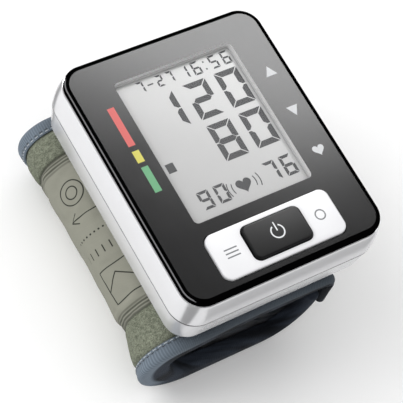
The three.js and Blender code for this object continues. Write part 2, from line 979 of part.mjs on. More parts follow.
// A contact stands against the bay's end wall; side is -1 at the front and 1 at the rear
function contactPlate(indexes, side) {
  const inner_y = side * contact_y;
  const outer_y = side * (contact_y + contact_thickness);
  const [y0, y1] = [Math.min(inner_y, outer_y), Math.max(inner_y, outer_y)];
  const half = contact_width / 2;
  let plate = null;
  for (const index of indexes) {
    const [x, z] = [battery_x[index], battery_z[index]];
    const pad = block(x - half, x + half, y0, y1, z - half, z + half);
    plate = plate ? plate.add(pad) : pad;
  }
  return [plate, y0, y1];
}

function rearContact() {
  const [pads, y0, y1] = contactPlate([0, 1], 1);
  const middle_z = (battery_z[0] + battery_z[1]) / 2;
  const bridge = block(
    battery_x[0],
    battery_x[1],
    y0,
    y1,
    middle_z - contact_width / 4,
    middle_z + contact_width / 4,
  );
  const touch = shaft(
    battery_x[1],
    battery_z[1],
    battery_length / 2 + fit_gap,
    y1,
    battery_nub_radius,
    small_sides,
  );
  return join(pads, bridge, touch, contactSpring(0, 1));
}

function frontContact(index) {
  const [pad, y0, y1] = contactPlate([index], -1);
  const [x, z] = [battery_x[index], battery_z[index]];
  const tab = block(
    x - contact_width / 4,
    x + contact_width / 4,
    y0,
    y1,
    z,
    board_under_z - fit_gap,
  );
  const whole = pad.add(tab);
  if (index === 1) return whole.add(contactSpring(index, -1));
  const touch = shaft(x, z, y0, -battery_length / 2 - fit_gap, battery_nub_radius, small_sides);
  return whole.add(touch);
}

function caseScrew([x, y]) {
  const slot_depth = screw_head_height / 2;
  const half_width = screw_slot_width / 2;
  const half_length = screw_slot_length / 2;
  const body = join(
    post(x, y, screw_head_z, screw_head_z + screw_head_height, screw_head_radius),
    post(x, y, screw_head_z + screw_head_height / 2, screw_tip_z, screw_radius, small_sides),
  );
  return cut(
    body,
    block(
      x - half_length,
      x + half_length,
      y - half_width,
      y + half_width,
      screw_head_z - overrun,
      screw_head_z + slot_depth,
    ),
    block(
      x - half_width,
      x + half_width,
      y - half_length,
      y + half_length,
      screw_head_z - overrun,
      screw_head_z + slot_depth,
    ),
  );
}

// Curved plate under the saddle that the cuff is fixed to; four hooks snap into the lower case
function cuffPlate() {
  const top = saddle_radius - fit_gap;
  const low_z = floorZ(plate_half_width) - floor_thickness * 3;
  let plate = cut(
    underArc(top, plate_half_width, low_z),
    underArc(top - plate_thickness, plate_half_width + overrun, low_z - overrun),
    block(-panel_width, panel_width, plate_half_length, panel_length * 2, 0, face_height),
    block(-panel_width, panel_width, -panel_length * 2, -plate_half_length, 0, face_height),
  );
  const slot_z = floorZ(0) + fit_gap * 2;
  for (const x of [-hook_x, hook_x]) {
    for (const side of [-1, 1]) {
      const y = side * hook_y;
      const barb_y = y + side * (hook_thickness / 2 + hook_barb / 2);
      plate = join(
        plate,
        block(
          x - hook_width / 2,
          x + hook_width / 2,
          y - hook_thickness / 2,
          y + hook_thickness / 2,
          saddle_crown_z - fit_gap - plate_thickness / 2,
          slot_z + hook_reach,
        ),
        block(
          x - hook_width / 2,
          x + hook_width / 2,
          Math.min(y, barb_y + side * hook_barb),
          Math.max(y, barb_y + side * hook_barb),
          slot_z,
          slot_z + hook_reach,
        ),
      );
    }
  }
  return plate.subtract(
    post(air_x, socket_y, base_z - overrun, saddle_crown_z + overrun, nipple_radius + fit_gap),
  );
}

// Air system: pump, manifold over the cuff nipple, sensor above it and valve behind it
const pump_right_x = pump_x + pump_width / 2;
const pump_z = floorZ(pump_right_x) + fit_gap + pump_height / 2;
const pump_front_y = motor_end_y - motor_length - fit_gap - pump_head_length;
const nipple_reach = Math.abs(air_x) + nipple_flange_radius;
const nipple_under = cuff_radius - outer_thickness - curler_thickness - fit_gap * 3;
const nipple_foot_z = saddle_centre_z + Math.sqrt(nipple_under ** 2 - nipple_reach ** 2);
const air_z = floorZ(0) + fit_gap * 4 + air_tube_radius;
const valve_z = floorZ(0) + fit_gap + valve_radius;
const valve_front_y = air_tube_rear_y + spigot_length + valve_gap_y;

function flatSided(y0, y1, width, height, round) {
  const shape = roundedShape(width, height, round);
  return alongY(shape, y0, y1).translate([pump_x, 0, pump_z]);
}

function pumpMotor() {
  const y0 = motor_end_y - motor_length;
  const cap = shaft(pump_x, pump_z, motor_end_y - overrun, motor_end_y + overrun, pump_height / 4);
  return flatSided(y0, motor_end_y, pump_width, pump_height, pump_height / 2 - fit_gap).add(cap);
}

function pumpHead() {
  const nozzle_y = pump_front_y - spigot_length;
  return join(
    flatSided(pump_front_y, pump_front_y + pump_head_length, pump_width, pump_height, pump_round),
    shaft(pump_x, pump_z, nozzle_y, pump_front_y + overrun, spigot_radius),
  );
}

function airManifold() {
  const sensor_port_z = board_under_z - fit_gap - sensor_height - fit_gap;
  const bar = join(
    shaft(air_x, air_z, air_tube_front_y, air_tube_rear_y, air_tube_radius),
    shaft(air_x, air_z, air_tube_front_y, air_tube_rear_y + spigot_length, spigot_radius),
    crossbar(side_spigot_y, air_z, air_x - air_tube_radius - spigot_length, air_x, spigot_radius),
    post(air_x, socket_y, floorZ(0) + fit_gap, air_z + air_tube_radius, socket_radius),
    post(air_x, sensor_y, air_z, sensor_port_z - sensor_port_length, spigot_radius),
  );
  return bar.subtract(
    post(air_x, socket_y, floorZ(0) - overrun, air_z, nipple_radius + fit_gap),
  );
}

const sensor_port_length = 0.9;

function pressureSensor() {
  const top_z = board_under_z - fit_gap;
  const half = sensor_side / 2;
  return join(
    block(air_x - half, air_x + half, sensor_y - half, sensor_y + half, top_z - sensor_height, top_z),
    post(air_x, sensor_y, top_z - sensor_height - sensor_port_length, top_z - overrun, spigot_radius),
  );
}

function exhaustValve() {
  const front_y = valve_front_y;
  return join(
    shaft(air_x, valve_z, front_y, front_y + valve_length, valve_radius),
    shaft(air_x, valve_z, front_y - spigot_length, front_y + overrun, spigot_radius),
    shaft(air_x, valve_z, front_y + valve_length / 2, front_y + valve_length + overrun, valve_radius / 2),
  );
}

// A bored tube pushed over a spigot at each end
function airTube(points, steps) {
  const ring = new THREE.Shape();
  ring.absarc(0, 0, tube_bore + tube_wall, 0, Math.PI * 2);
  const bore = new THREE.Path();
  bore.absarc(0, 0, tube_bore, 0, Math.PI * 2, true);
  ring.holes.push(bore);
  const options = {
    steps,
    curveSegments: corner_steps,
    bevelEnabled: false,
    extrudePath: new THREE.CatmullRomCurve3(points),
  };
  return solid(new THREE.ExtrudeGeometry(ring, options));
}

function pumpTube() {
  const start_y = pump_front_y - fit_gap;
  const end_x = air_x - air_tube_radius - fit_gap;
  const bend = (start_y - side_spigot_y) / 2;
  return airTube(
    [
      new THREE.Vector3(pump_x, start_y, pump_z),
      new THREE.Vector3(pump_x, start_y - bend / 2, pump_z),
      new THREE.Vector3(pump_x + bend / 3, side_spigot_y + bend / 3, between(pump_z, air_z, tube_drop_shares[0])),
      new THREE.Vector3(pump_x + bend, side_spigot_y, between(pump_z, air_z, tube_drop_shares[1])),
      new THREE.Vector3(end_x - spigot_length, side_spigot_y, air_z),
      new THREE.Vector3(end_x, side_spigot_y, air_z),
    ],
    round_sides,
  );
}

function valveTube() {
  const start_y = air_tube_rear_y + fit_gap;
  const end_y = valve_front_y - fit_gap;
  return airTube(
    [
      new THREE.Vector3(air_x, start_y, air_z),
      new THREE.Vector3(air_x, start_y + spigot_length, air_z),
      new THREE.Vector3(air_x, end_y - spigot_length, valve_z),
      new THREE.Vector3(air_x, end_y, valve_z),
    ],
    small_sides,
  );
}

// Nipple of the air bag: a flange inside the cuff and a bored spigot up into the manifold
function cuffNipple() {
  const flange_z = nipple_foot_z - nipple_flange_thickness;
  const top_z = air_z - fit_gap;
  return cut(
    join(
      post(air_x, socket_y, flange_z, nipple_foot_z, nipple_flange_radius),
      post(air_x, socket_y, flange_z, top_z, nipple_radius),
    ),
    post(air_x, socket_y, flange_z - overrun, top_z + overrun, nipple_bore, small_sides),
  );
}

// The cuff's outer surface in XZ, anticlockwise from the right: first the wall under the housing,
// then the wall that lies on the floor
function arcPoint(x) {
  return new THREE.Vector2(x, saddle_centre_z + Math.sqrt(cuff_radius ** 2 - x * x));
}

// Radius of the bend that brings a wall leaving the saddle at an angle down to the vertical
function bendRadius(run, drop, angle) {
  return (drop - run * Math.tan(angle)) / (Math.cos(angle) - (1 - Math.sin(angle)) * Math.tan(angle));
}

function upperOutline() {
  const right_turn = Math.asin(saddle_right / cuff_radius);
  const left_turn = Math.asin(saddle_left / cuff_radius);
  const right = arcPoint(saddle_right);
  const left = arcPoint(-saddle_left);
  const start_z = strap_top_z + fit_gap / 2;
  const end_z = cuff_split_z + fit_gap / 2;
  const right_bend = bendRadius(strap_path_x - right.x, right.y - start_z, right_turn);
  const left_bend = bendRadius(left.x - cuff_split_x, left.y - end_z, left_turn);
  const path = new THREE.Path();
  path.absarc(strap_path_x - right_bend, start_z, right_bend, 0, Math.PI / 2 - right_turn);
  path.absarc(0, saddle_centre_z, cuff_radius, Math.PI / 2 - right_turn, Math.PI / 2 + left_turn);
  path.absarc(cuff_split_x + left_bend, end_z, left_bend, Math.PI / 2 + left_turn, Math.PI);
  return path;
}

function lowerOutline() {
  const path = new THREE.Path();
  path.moveTo(cuff_split_x, cuff_split_z - fit_gap / 2);
  path.bezierCurveTo(
    cuff_split_x,
    cuff_split_z - heel_drop,
    -rest_left - heel_reach,
    binding_span,
    -rest_left,
    binding_span,
  );
  path.lineTo(rest_right, binding_span);
  path.bezierCurveTo(
    rest_right + lap_reach,
    binding_span,
    lap_x,
    lap_top_z - lap_drop,
    lap_x,
    lap_top_z,
  );
  return path;
}

function strapOutline() {
  const path = new THREE.Path();
  const reach = (strap_top_z - strap_foot_z) / 3;
  path.moveTo(strap_path_x - strap_foot_lean, strap_foot_z);
  path.bezierCurveTo(
    strap_path_x,
    strap_foot_z + reach,
    strap_path_x,
    strap_top_z - reach,
    strap_path_x,
    strap_top_z - fit_gap / 2,
  );
  return path;
}

// Stations are evenly spaced along an outline; each holds its place, the inward normal and its share
function stations(path, count) {
  const places = path.getSpacedPoints(count);
  return places.map((p, i) => {
    const tangent = path.getTangent(i / count);
    return { x: p.x, z: p.y, nx: -tangent.y, nz: tangent.x, share: i / count };
  });
}

const smooth = (low, high, value) => THREE.MathUtils.smoothstep(value, low, high);

// How far the wall swells: 1 beside the left bend, 0 under the housing and on the floor
const upper_stations = stations(upperOutline(), cuff_station_count).map((s) => ({
  ...s,
  flare: smooth(flare_start_share, 1, s.share),
  wall: between(
    lap_wall,
    between(top_wall, heel_wall, smooth(flare_start_share, 1, s.share)),
    smooth(thin_start_share, thin_end_share, s.share),
  ),
}));
const lower_stations = stations(lowerOutline(), cuff_station_count).map((s) => ({
  ...s,
  flare: 1 - smooth(0, flare_end_share, s.share),
  wall: between(heel_wall, lap_wall, smooth(lap_start_share - thin_end_share, lap_start_share, s.share)),
}));
const strap_stations = stations(strapOutline(), strap_station_count).map((s) => ({
  ...s,
  flare: 0,
  wall: outer_thickness,
}));

const flareAt = (y) =>
  (y < 0 ? front_flare : rear_flare) * Math.abs(y / cuff_half_length) ** 3;

function cuffPoint(station, inset, y) {
  const depth = THREE.MathUtils.clamp(inset / station.wall, 0, 1);
  const swell = station.flare * flareAt(y) * between(1, inner_flare_share, depth);
  const reach = inset - swell;
  return new THREE.Vector3(station.x + station.nx * reach, y, station.z + station.nz * reach);
}

// Sweeps a closed section of [inset, y] pairs, which may change from station to station
function sweep(places, sectionAt) {
  const sections = places.map(sectionAt);
  const rings = places.map((s, i) => sections[i].map(([inset, y]) => cuffPoint(s, inset, y)));
  const flat = sections[0].map(([inset, y]) => new THREE.Vector2(inset, y));
  const caps = THREE.ShapeUtils.triangulateShape(flat, []);
  return skinned(
    rings,
    caps.map(([a, b, c]) => [c, b, a]),
  );
}

function sheetSection(outer, inner, half_length) {
  const there = width_shares.map((share) => [outer, share * half_length]);
  const back = width_shares.map((share) => [inner, -share * half_length]);
  return [...there, ...back];
}

function bindingSection(wall, side) {
  const end = side * cuff_half_length;
  const start = side * (cuff_half_length - binding_width);
  const inside = side * (cuff_half_length - binding_wall);
  const section = [
    [-binding_span, start],
    [-fit_gap, start],
    [-fit_gap, inside],
    [wall + fit_gap, inside],
    [wall + fit_gap, start],
    [wall + binding_span, start],
    [wall + binding_span, end],
    [-binding_span, end],
  ];
  return side < 0 ? section : section.reverse();
}

const cloth_half_length = cuff_half_length - binding_wall - fit_gap;
const curler_inset = outer_thickness + fit_gap;
const bladder_inset = curler_inset + curler_thickness + fit_gap;
const withWall = (places, least) =>
  places.filter((s) => s.wall - liner_thickness - fit_gap - bladder_inset >= least);
// Between its bound edges the outer cloth swells out flush with the tape
function outerSection() {
  const bound = cuff_half_length - binding_width - fit_gap;
  const swollen = width_shares.map((share) => [-binding_span, share * bound]);
  const edge = [
    [0, bound],
    [0, cloth_half_length],
  ];
  const there = [[0, -cloth_half_length], [0, -bound], ...swollen, ...edge];
  const back = [1, ...inner_shares, -1].map((share) => [outer_thickness, share * cloth_half_length]);
  return [...there, ...back];
}

const outerCloth = (places) => sweep(places, outerSection);
const liner = (places) =>
  sweep(places, (s) => sheetSection(s.wall - liner_thickness, s.wall, cloth_half_length));
const hookPatch = (places) =>
  sweep(places, () =>
    sheetSection(
      outer_thickness + fit_gap,
      outer_thickness + binding_span,
      cuff_half_length - binding_width - fit_gap,
    ),
  );
const curler = (places) =>
  sweep(withWall(places, bladder_least_thickness), () =>
    sheetSection(curler_inset, curler_inset + curler_thickness, cloth_half_length - curler_margin),
  );
const bladder = (places) =>
  sweep(withWall(places, bladder_least_thickness), (s) =>
    sheetSection(
      bladder_inset,
      s.wall - liner_thickness - fit_gap,
      cloth_half_length - bladder_margin,
    ),
  );
const binding = (places, side) => sweep(places, (s) => bindingSection(s.wall, side));

const nipple_hole = post(air_x, socket_y, 0, face_height, nipple_radius + fit_gap);
const nipple_pocket = post(
  air_x,
  socket_y,
  0,
  nipple_foot_z + fit_gap,
  nipple_flange_radius + fit_gap,
);

put("top_case", topCase(), white);
put("bottom_case", bottomCase(), white);
put("battery_door", batteryDoor(), white);
put("front_panel", frontPanel(), black);
put("display_window", displayWindow(), clear);
put("mode_key", modeKey(), white);
put("power_button", powerButton(), charcoal);
screw_places.forEach((place, i) => put(`case_screw_${i + 1}`, caseScrew(place), steel));
put("cuff_plate", cuffPlate(), white);

put("lcd_frame", lcdFrame(), pale_grey);
put(
  "lcd_cell",
  slab(display_x, display_y, cell_width, cell_length, least_corner, cell_under_z, cell_top_z),
  pale_grey,
);
put("lcd_connector_top", connectorStrip(1), charcoal);
put("lcd_connector_bottom", connectorStrip(-1), charcoal);
put("main_board", mainBoard(), board_green);
put("controller_chip", controllerChip(), black);
put("power_switch", tactSwitch(key_x), steel);
put("left_key_switch", tactSwitch(key_x - key_post_x), steel);
put("right_key_switch", tactSwitch(key_x + key_post_x), steel);
put(
  "buzzer",
  post(
    buzzer_x,
    buzzer_y,
    board_under_z - fit_gap - buzzer_height,
    board_under_z - fit_gap,
    buzzer_radius,
  ),
  charcoal,
);

put("pump_motor", pumpMotor(), steel);
put("pump_head", pumpHead(), white);
put("air_manifold", airManifold(), pale_grey);
put("pressure_sensor", pressureSensor(), charcoal);
put("exhaust_valve", exhaustValve(), steel);
put("pump_tube", pumpTube(), rubber);
put("valve_tube", valveTube(), rubber);
put("cuff_nipple", cuffNipple(), rubber);

put("battery_inner", battery(0), copper_top);
put("battery_outer", battery(1), copper_top);
put("battery_contact_rear", rearContact(), steel);
put("battery_contact_plus", frontContact(0), steel);
put("battery_contact_minus", frontContact(1), steel);

put("cuff_outer_upper", outerCloth(upper_stations).subtract(nipple_hole), nap_cloth);
put("cuff_outer_lower", outerCloth(lower_stations), nap_cloth);
put("cuff_curler_upper", curler(upper_stations).subtract(nipple_hole), white);
put("cuff_curler_lower", curler(lower_stations), white);
put("air_bladder_upper", cut(bladder(upper_stations), nipple_pocket, nipple_hole), film);
put("air_bladder_lower", bladder(lower_stations), film);
put("cuff_liner_upper", liner(upper_stations), navy_cloth);
put("cuff_liner_lower", liner(lower_stations), navy_cloth);
put("front_binding_upper", binding(upper_stations, -1), tape_cloth);
put("front_binding_lower", binding(lower_stations, -1), tape_cloth);
put("rear_binding_upper", binding(upper_stations, 1), tape_cloth);
put("rear_binding_lower", binding(lower_stations, 1), tape_cloth);
put("strap_tab", outerCloth(strap_stations), nap_cloth);
put("hook_patch", hookPatch(strap_stations), charcoal);
put("strap_binding_front", binding(strap_stations, -1), tape_cloth);
put("strap_binding_rear", binding(strap_stations, 1), tape_cloth);

export default monitor;
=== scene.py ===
"""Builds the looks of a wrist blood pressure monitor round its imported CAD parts.

Sizes in the code are millimetres, as in the CAD part, and become metres where a mesh is made.
+X is the display's right, +Y its top and +Z up. The cuff rests on the floor at z = 0.
"""

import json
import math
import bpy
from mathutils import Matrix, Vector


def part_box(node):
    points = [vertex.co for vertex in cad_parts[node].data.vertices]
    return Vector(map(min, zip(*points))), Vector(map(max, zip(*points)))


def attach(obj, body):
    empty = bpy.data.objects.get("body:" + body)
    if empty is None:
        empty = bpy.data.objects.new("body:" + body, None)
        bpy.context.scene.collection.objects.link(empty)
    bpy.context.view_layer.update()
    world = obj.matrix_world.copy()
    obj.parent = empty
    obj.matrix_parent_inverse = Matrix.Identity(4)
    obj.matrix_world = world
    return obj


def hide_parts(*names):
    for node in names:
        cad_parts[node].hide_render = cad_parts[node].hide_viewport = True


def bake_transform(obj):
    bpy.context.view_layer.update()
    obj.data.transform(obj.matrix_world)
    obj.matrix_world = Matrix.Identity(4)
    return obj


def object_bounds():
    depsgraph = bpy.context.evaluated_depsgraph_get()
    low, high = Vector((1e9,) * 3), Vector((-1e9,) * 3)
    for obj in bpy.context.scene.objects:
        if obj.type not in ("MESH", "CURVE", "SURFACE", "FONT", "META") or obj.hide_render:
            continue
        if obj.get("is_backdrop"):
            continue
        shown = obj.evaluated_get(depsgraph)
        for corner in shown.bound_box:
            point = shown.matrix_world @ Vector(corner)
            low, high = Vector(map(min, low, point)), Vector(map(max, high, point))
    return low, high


bl_info = {
    "name": "Wrist blood pressure monitor",
    "version": (1, 0, 0),
    "blender": (4, 5, 0),
    "location": "View3D > Sidebar > Monitor",
    "description": "Moulded housing, display, keys and a sewn cuff, built on packed CAD parts",
    "category": "Object",
}

import bmesh
import bpy
import numpy as np
from mathutils import Euler, Vector, noise

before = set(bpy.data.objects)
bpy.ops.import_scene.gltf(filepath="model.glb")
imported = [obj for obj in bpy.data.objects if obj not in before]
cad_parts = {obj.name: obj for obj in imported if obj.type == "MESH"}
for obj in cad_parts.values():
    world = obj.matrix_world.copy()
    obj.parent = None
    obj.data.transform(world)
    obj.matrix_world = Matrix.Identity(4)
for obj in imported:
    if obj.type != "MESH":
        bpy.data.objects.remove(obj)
cad_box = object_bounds()

MM = 0.001


def node_box(node):
    """Lowest and highest corner of a CAD node in millimetres"""
    low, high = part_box(node)
    return low / MM, high / MM


# Sizes of the CAD part that its boxes don't show
FIT_GAP = 0.3
PANEL_CORNER = 6.8
PANEL_THICKNESS = 1.9
CASE_RIM_WIDTH = 2.2
PARTING_DEPTH = 11.8
PARTING_FLARE = 1.46
TOP_OUTSET = 0.2
FOOT_OUTSET = 0.37
BASE_ROUNDING_HEIGHT = 4.2
BASE_ROUNDING_WIDTH = 5.4
SADDLE_RADIUS = 80
SADDLE_RISE = 3.9
KEY_CORNER = 2.8
BUTTON_CORNER = 2
WINDOW_CORNER = 1.5
SCREW_INSET = (4.8, 4.9)
SCREW_HOLE_RADIUS = 2.3
DOOR_WALL = 2
SKIRT_WALL, SKIRT_DEPTH, SKIRT_LAP = 1.5, 1.5, 0.5
KEY_WIDTH, KEY_LENGTH = 41, 14.7
KEY_WALL, KEY_SKIN = 1.2, 1.6
BUTTON_WIDTH, BUTTON_LENGTH = 19.2, 10.8

# How far cutters run past what they cut, and how far below the parting line the upper case's
# own solid is kept
OVERRUN = 1
CORE_DEPTH = 9

# Places read from the frame
PANEL_HIGH = node_box("front_panel")[1]
FACE_Z = PANEL_HIGH.z
PANEL_UNDER_Z = FACE_Z - PANEL_THICKNESS
PARTING_Z = FACE_Z - PARTING_DEPTH
HALF_WIDTH, HALF_LENGTH = PANEL_HIGH.x, PANEL_HIGH.y
BASE_Z = node_box("bottom_case")[0].z
CASE_TOP_Z = node_box("top_case")[1].z
SADDLE_CENTRE_Z = BASE_Z + SADDLE_RISE - SADDLE_RADIUS

# The cuff's outline in XZ and its layers, as in the CAD part
CUFF_HALF_LENGTH = -node_box("front_binding_upper")[0].y
TAPE_WIDTH = 4.6
TAPE_WALL = 0.9
TAPE_SPAN = TAPE_WALL + FIT_GAP
CLOTH_HALF_LENGTH = CUFF_HALF_LENGTH - TAPE_SPAN
BOUND_Y = CUFF_HALF_LENGTH - TAPE_WIDTH
CUFF_SPLIT_Z = 21
CUFF_SPLIT_X = -35.5
REST_LEFT, REST_RIGHT = 20, 6
STRAP_PATH_X = 24
STRAP_TOP_Z, STRAP_FOOT_Z = 27.5, 15.4
STRAP_FOOT_LEAN = -0.5
SADDLE_RIGHT, SADDLE_LEFT = 15, 17
LAP_X, LAP_TOP_Z = 20.4, 22.5
HEEL_DROP, HEEL_REACH = 9.5, 8
LAP_REACH, LAP_DROP = 10, 10
FRONT_FLARE, REAR_FLARE = 5, 2.6
INNER_FLARE_SHARE = 0.3
FLARE_START_SHARE, FLARE_END_SHARE = 0.74, 0.34
THIN_START_SHARE, THIN_END_SHARE = 0.07, 0.3
LAP_START_SHARE = 0.74
CLOTH_THICKNESS = 0.9
LAP_WALL = CLOTH_THICKNESS * 2 + FIT_GAP
TOP_WALL, HEEL_WALL = 4.7, 5.4
CUFF_CROWN_Z = 34
CUFF_RADIUS = CUFF_CROWN_Z - SADDLE_CENTRE_Z
FRONT_BAND_Y, REAR_BAND_Y = 24.5, 28.3


def smooth(low, high, value):
    """0 below low, 1 above high, and an eased step between them"""
    share = np.clip((np.asarray(value, float) - low) / (high - low), 0, 1)
    return share * share * (3 - 2 * share)


def blended(low, high, share):
    return low + (high - low) * share


def bump_at(centre, reach, value):
    """1 at the centre, eased down to 0 at its reach"""
    return 1 - smooth(0, reach, np.abs(np.asarray(value, float) - centre))


# Materials and node trees


def feed(tree, socket, value):
    """Links a value to a socket, or sets the socket to it"""
    value = getattr(value, "socket", value)
    if isinstance(value, bpy.types.NodeSocket):
        tree.links.new(value, socket)
        return
    if np.size(value) == 3 and len(socket.default_value) == 4:
        value = (*value, 1)
    socket.default_value = value


def add_node(tree, kind, inputs=(), **settings):
    """Adds a node with its inputs, by place or by name, and gives its outputs"""
    made = tree.nodes.new(kind)
    for name, value in settings.items():
        setattr(made, name, value)
    for name, value in inputs.items() if isinstance(inputs, dict) else enumerate(inputs):
        feed(tree, made.inputs[name], value)
    return made.outputs


class Value:
    """A socket of a finish. Arithmetic on it adds Math nodes."""

    def __init__(self, finish, socket):
        self.finish = finish
        self.socket = socket

    def math(self, operation, *others):
        return self.finish.node("ShaderNodeMath", [self, *others], operation=operation)

    def __add__(self, other):
        return self.math("ADD", other)

    def __sub__(self, other):
        return self.math("SUBTRACT", other)

    def __rsub__(self, other):
        return self.finish.node("ShaderNodeMath", [other, self], operation="SUBTRACT")

    def __mul__(self, other):
        return self.math("MULTIPLY", other)

    def __truediv__(self, other):
        return self.math("DIVIDE", other)

    __rmul__ = __mul__

    def wave(self, pitch):
        """A sine wave from -1 to 1"""
        return (self * (math.tau / pitch)).math("SINE")

    def size(self):
        return self.math("ABSOLUTE")

    def at_least(self, other):
        return self.math("MAXIMUM", other)

    def at_most(self, other):
        return self.math("MINIMUM", other)

    def step(self, low, high):
        """0 at low, 1 at high, eased between them"""
        inputs = [self, low, high]
        return self.finish.node("ShaderNodeMapRange", inputs, interpolation_type="SMOOTHSTEP")


class Finish:
    """A material whose nodes are written as Python expressions"""

    def __init__(self, name, colour, **settings):
        self.material = bpy.data.materials.new(name)
        self.material.use_nodes = True
        self.tree = self.material.node_tree
        self.shader = self.tree.nodes["Principled BSDF"]
        self.set("Base Color", colour)
        self.material.diffuse_color = (*colour[:3], 1)
        for socket, value in settings.items():
            self.set(socket.replace("_", " ").title().replace("Ior", "IOR"), value)

    def set(self, socket, value):
        feed(self.tree, self.shader.inputs[socket], value)

    def node(self, kind, inputs=(), output=0, **settings):
        return Value(self, add_node(self.tree, kind, inputs, **settings)[output])

    def parts(self, vector):
        """The three numbers of a vector"""
        outputs = add_node(self.tree, "ShaderNodeSeparateXYZ", [vector])
        return [Value(self, output) for output in outputs]

    def place(self):
        """Object coordinates in millimetres"""
        inputs = {0: self.node("ShaderNodeTexCoord", output="Object"), "Scale": 1 / MM}
        return self.node("ShaderNodeVectorMath", inputs, operation="SCALE")

    def lay(self):
        """Where cloth lies: along the outline, across it, 1 on its outer face, and all in one"""
        vector = self.node("ShaderNodeAttribute", output="Vector", attribute_name="lay")
        return [*self.parts(vector), vector]

    def stretched(self, *scale):
        return self.node("ShaderNodeMapping", {"Vector": self.place(), "Scale": scale})

    def grain(self, vector, pitch, detail=2, roughness=0.5):
        """Noise from 0 to 1 with grains of about one pitch"""
        inputs = {"Vector": vector, "Scale": 1 / pitch, "Detail": detail, "Roughness": roughness}
        return self.node("ShaderNodeTexNoise", inputs)

    def mix(self, first, second, share):
        return self.node("ShaderNodeMix", {0: share, 6: first, 7: second}, 2, data_type="RGBA")

    def tones(self, colour, low, share, high=1):
        """From a darker shade of a colour to a lighter one"""
        return self.mix(shade(colour, low), shade(colour, high), share)

    def done(self, colour, roughness, height=None, depth=0, strength=1):
        """Sets colour, roughness and a bump by a height field, whose depth is in millimetres"""
        self.set("Base Color", colour)
        self.set("Roughness", roughness)
        if height is not None:
            inputs = {"Strength": strength, "Distance": depth * MM, "Height": height}
            self.set("Normal", self.node("ShaderNodeBump", inputs))
        return self.material


def shade(colour, share):
    return [c * share for c in colour[:3]]


def srgb(red, green, blue):
    """A colour as seen, from 0 to 255, in the linear numbers that shaders take"""
    parts = (part / 255 for part in (red, green, blue))
    return tuple(c / 12.92 if c <= 0.04045 else ((c + 0.055) / 1.055) ** 2.4 for c in parts)


def moulded(name, colour, roughness, seam=False, **settings):
    """Moulded plastic: a fine grain in its skin and a slight waviness in its gloss. A shell's has
    painted shade in the seam between the cases"""
    finish = Finish(name, colour, **settings)
    place = finish.place()
    broad, fine = finish.grain(place, 9), finish.grain(place, 0.25, 3)
    skin = finish.tones(colour, 0.97, broad)
    if seam:
        # Painted shade: the skin darkens towards the parting line, fully within 0.2 mm of it
        away = (finish.parts(place)[2] - PARTING_Z).size()
        skin = finish.mix(skin, shade(colour, 0.22), 1 - away.step(0.2, 0.42))
    return finish.done(skin, broad * 0.06 + fine * 0.04 + (roughness - 0.05), fine, 0.004, 0.35)


def brushed_metal(name, colour, roughness):
    finish = Finish(name, colour, metallic=1.0)
    streaks = finish.grain(finish.stretched(0.15, 3, 3), 0.5, 3)
    skin = finish.tones(colour, 0.8, streaks)
    return finish.done(skin, streaks * 0.2 + (roughness - 0.1), streaks, 0.01, 0.3)


def rubber(name, colour, roughness):
    finish = Finish(name, colour)
    place = finish.place()
    grain, cloud = finish.grain(place, 0.4, 3), finish.grain(place, 4)
    skin = finish.tones(colour, 0.85, cloud)
    return finish.done(skin, grain * 0.2 + (roughness - 0.1), grain, 0.03, 0.4)


def flat_ink(name, colour, roughness):
    """Printed ink with a slight mottle"""
    finish = Finish(name, colour, specular_ior_level=0.12)
    mottle = finish.grain(finish.place(), 1.5)
    skin = finish.tones(colour, 0.93, mottle)
    return finish.done(skin, mottle * 0.1 + (roughness - 0.05))


# Meshes


def added(name, data):
    """A new object in the scene"""
    made = bpy.data.objects.new(name, data)
    bpy.context.scene.collection.objects.link(made)
    return made


def raw_mesh(name, points, edges=(), faces=()):
    """A mesh from points in millimetres"""
    mesh = bpy.data.meshes.new(name)
    mesh.from_pydata([tuple(float(c) * MM for c in p) for p in points], edges, faces)
    mesh.update()
    return mesh


def edited(piece, change):
    """Runs a change on the mesh of a piece"""
    work = bmesh.new()
    work.from_mesh(piece.data)
    change(work)
    work.to_mesh(piece.data)
    work.free()


def shade_by_angle(piece, angle):
    piece.data.shade_smooth()
    piece.data.set_sharp_from_angle(angle=math.radians(angle))


def new_piece(name, points, faces, outward=False, angle=35):
    """A smooth-shaded piece from points in millimetres"""
    piece = added(name, raw_mesh(name, points, faces=faces))
    if outward:
        edited(piece, lambda work: bmesh.ops.recalc_face_normals(work, faces=work.faces))
    shade_by_angle(piece, angle)
    return piece


def wear(piece, *materials):
    piece.data.materials.clear()
    for material in materials:
        piece.data.materials.append(material)


def finish_with(piece, material, body=None, replaces=()):
    """Gives a finished piece its material and its body, and hides the CAD nodes that it stands for
    """
    if material is not None:
        wear(piece, material)
    if body:
        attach(piece, body)
    if replaces:
        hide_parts(*replaces)


def settle(piece):
    """Makes what the modifiers give the piece's own mesh"""
    graph = bpy.context.evaluated_depsgraph_get()
    graph.update()
    settled = bpy.data.meshes.new_from_object(piece.evaluated_get(graph))
    piece.modifiers.clear()
    before = piece.data
    piece.data = settled
    bpy.data.meshes.remove(before)


def combine(piece, cutter, operation="DIFFERENCE"):
    modifier = piece.modifiers.new("combine", "BOOLEAN")
    modifier.operation = operation
    modifier.object = cutter
    modifier.solver = "EXACT"
    settle(piece)
    bpy.data.objects.remove(cutter)
    if not piece.data.polygons:
        raise RuntimeError(f"nothing is left of {piece.name}")
    return piece


def joined(piece, other, angle=35):
    """The meshes of both in one smooth-shaded piece"""
    edited(piece, lambda work: work.from_mesh(other.data))
    bpy.data.objects.remove(other)
    shade_by_angle(piece, angle)


def node_copy(node):
    """A welded copy of a CAD node"""

    def weld(work):
        bmesh.ops.remove_doubles(work, verts=work.verts, dist=0.001 * MM)
        bmesh.ops.dissolve_degenerate(work, edges=work.edges, dist=0.0001 * MM)

    piece = added("core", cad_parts[node].data.copy())
    edited(piece, weld)
    return piece


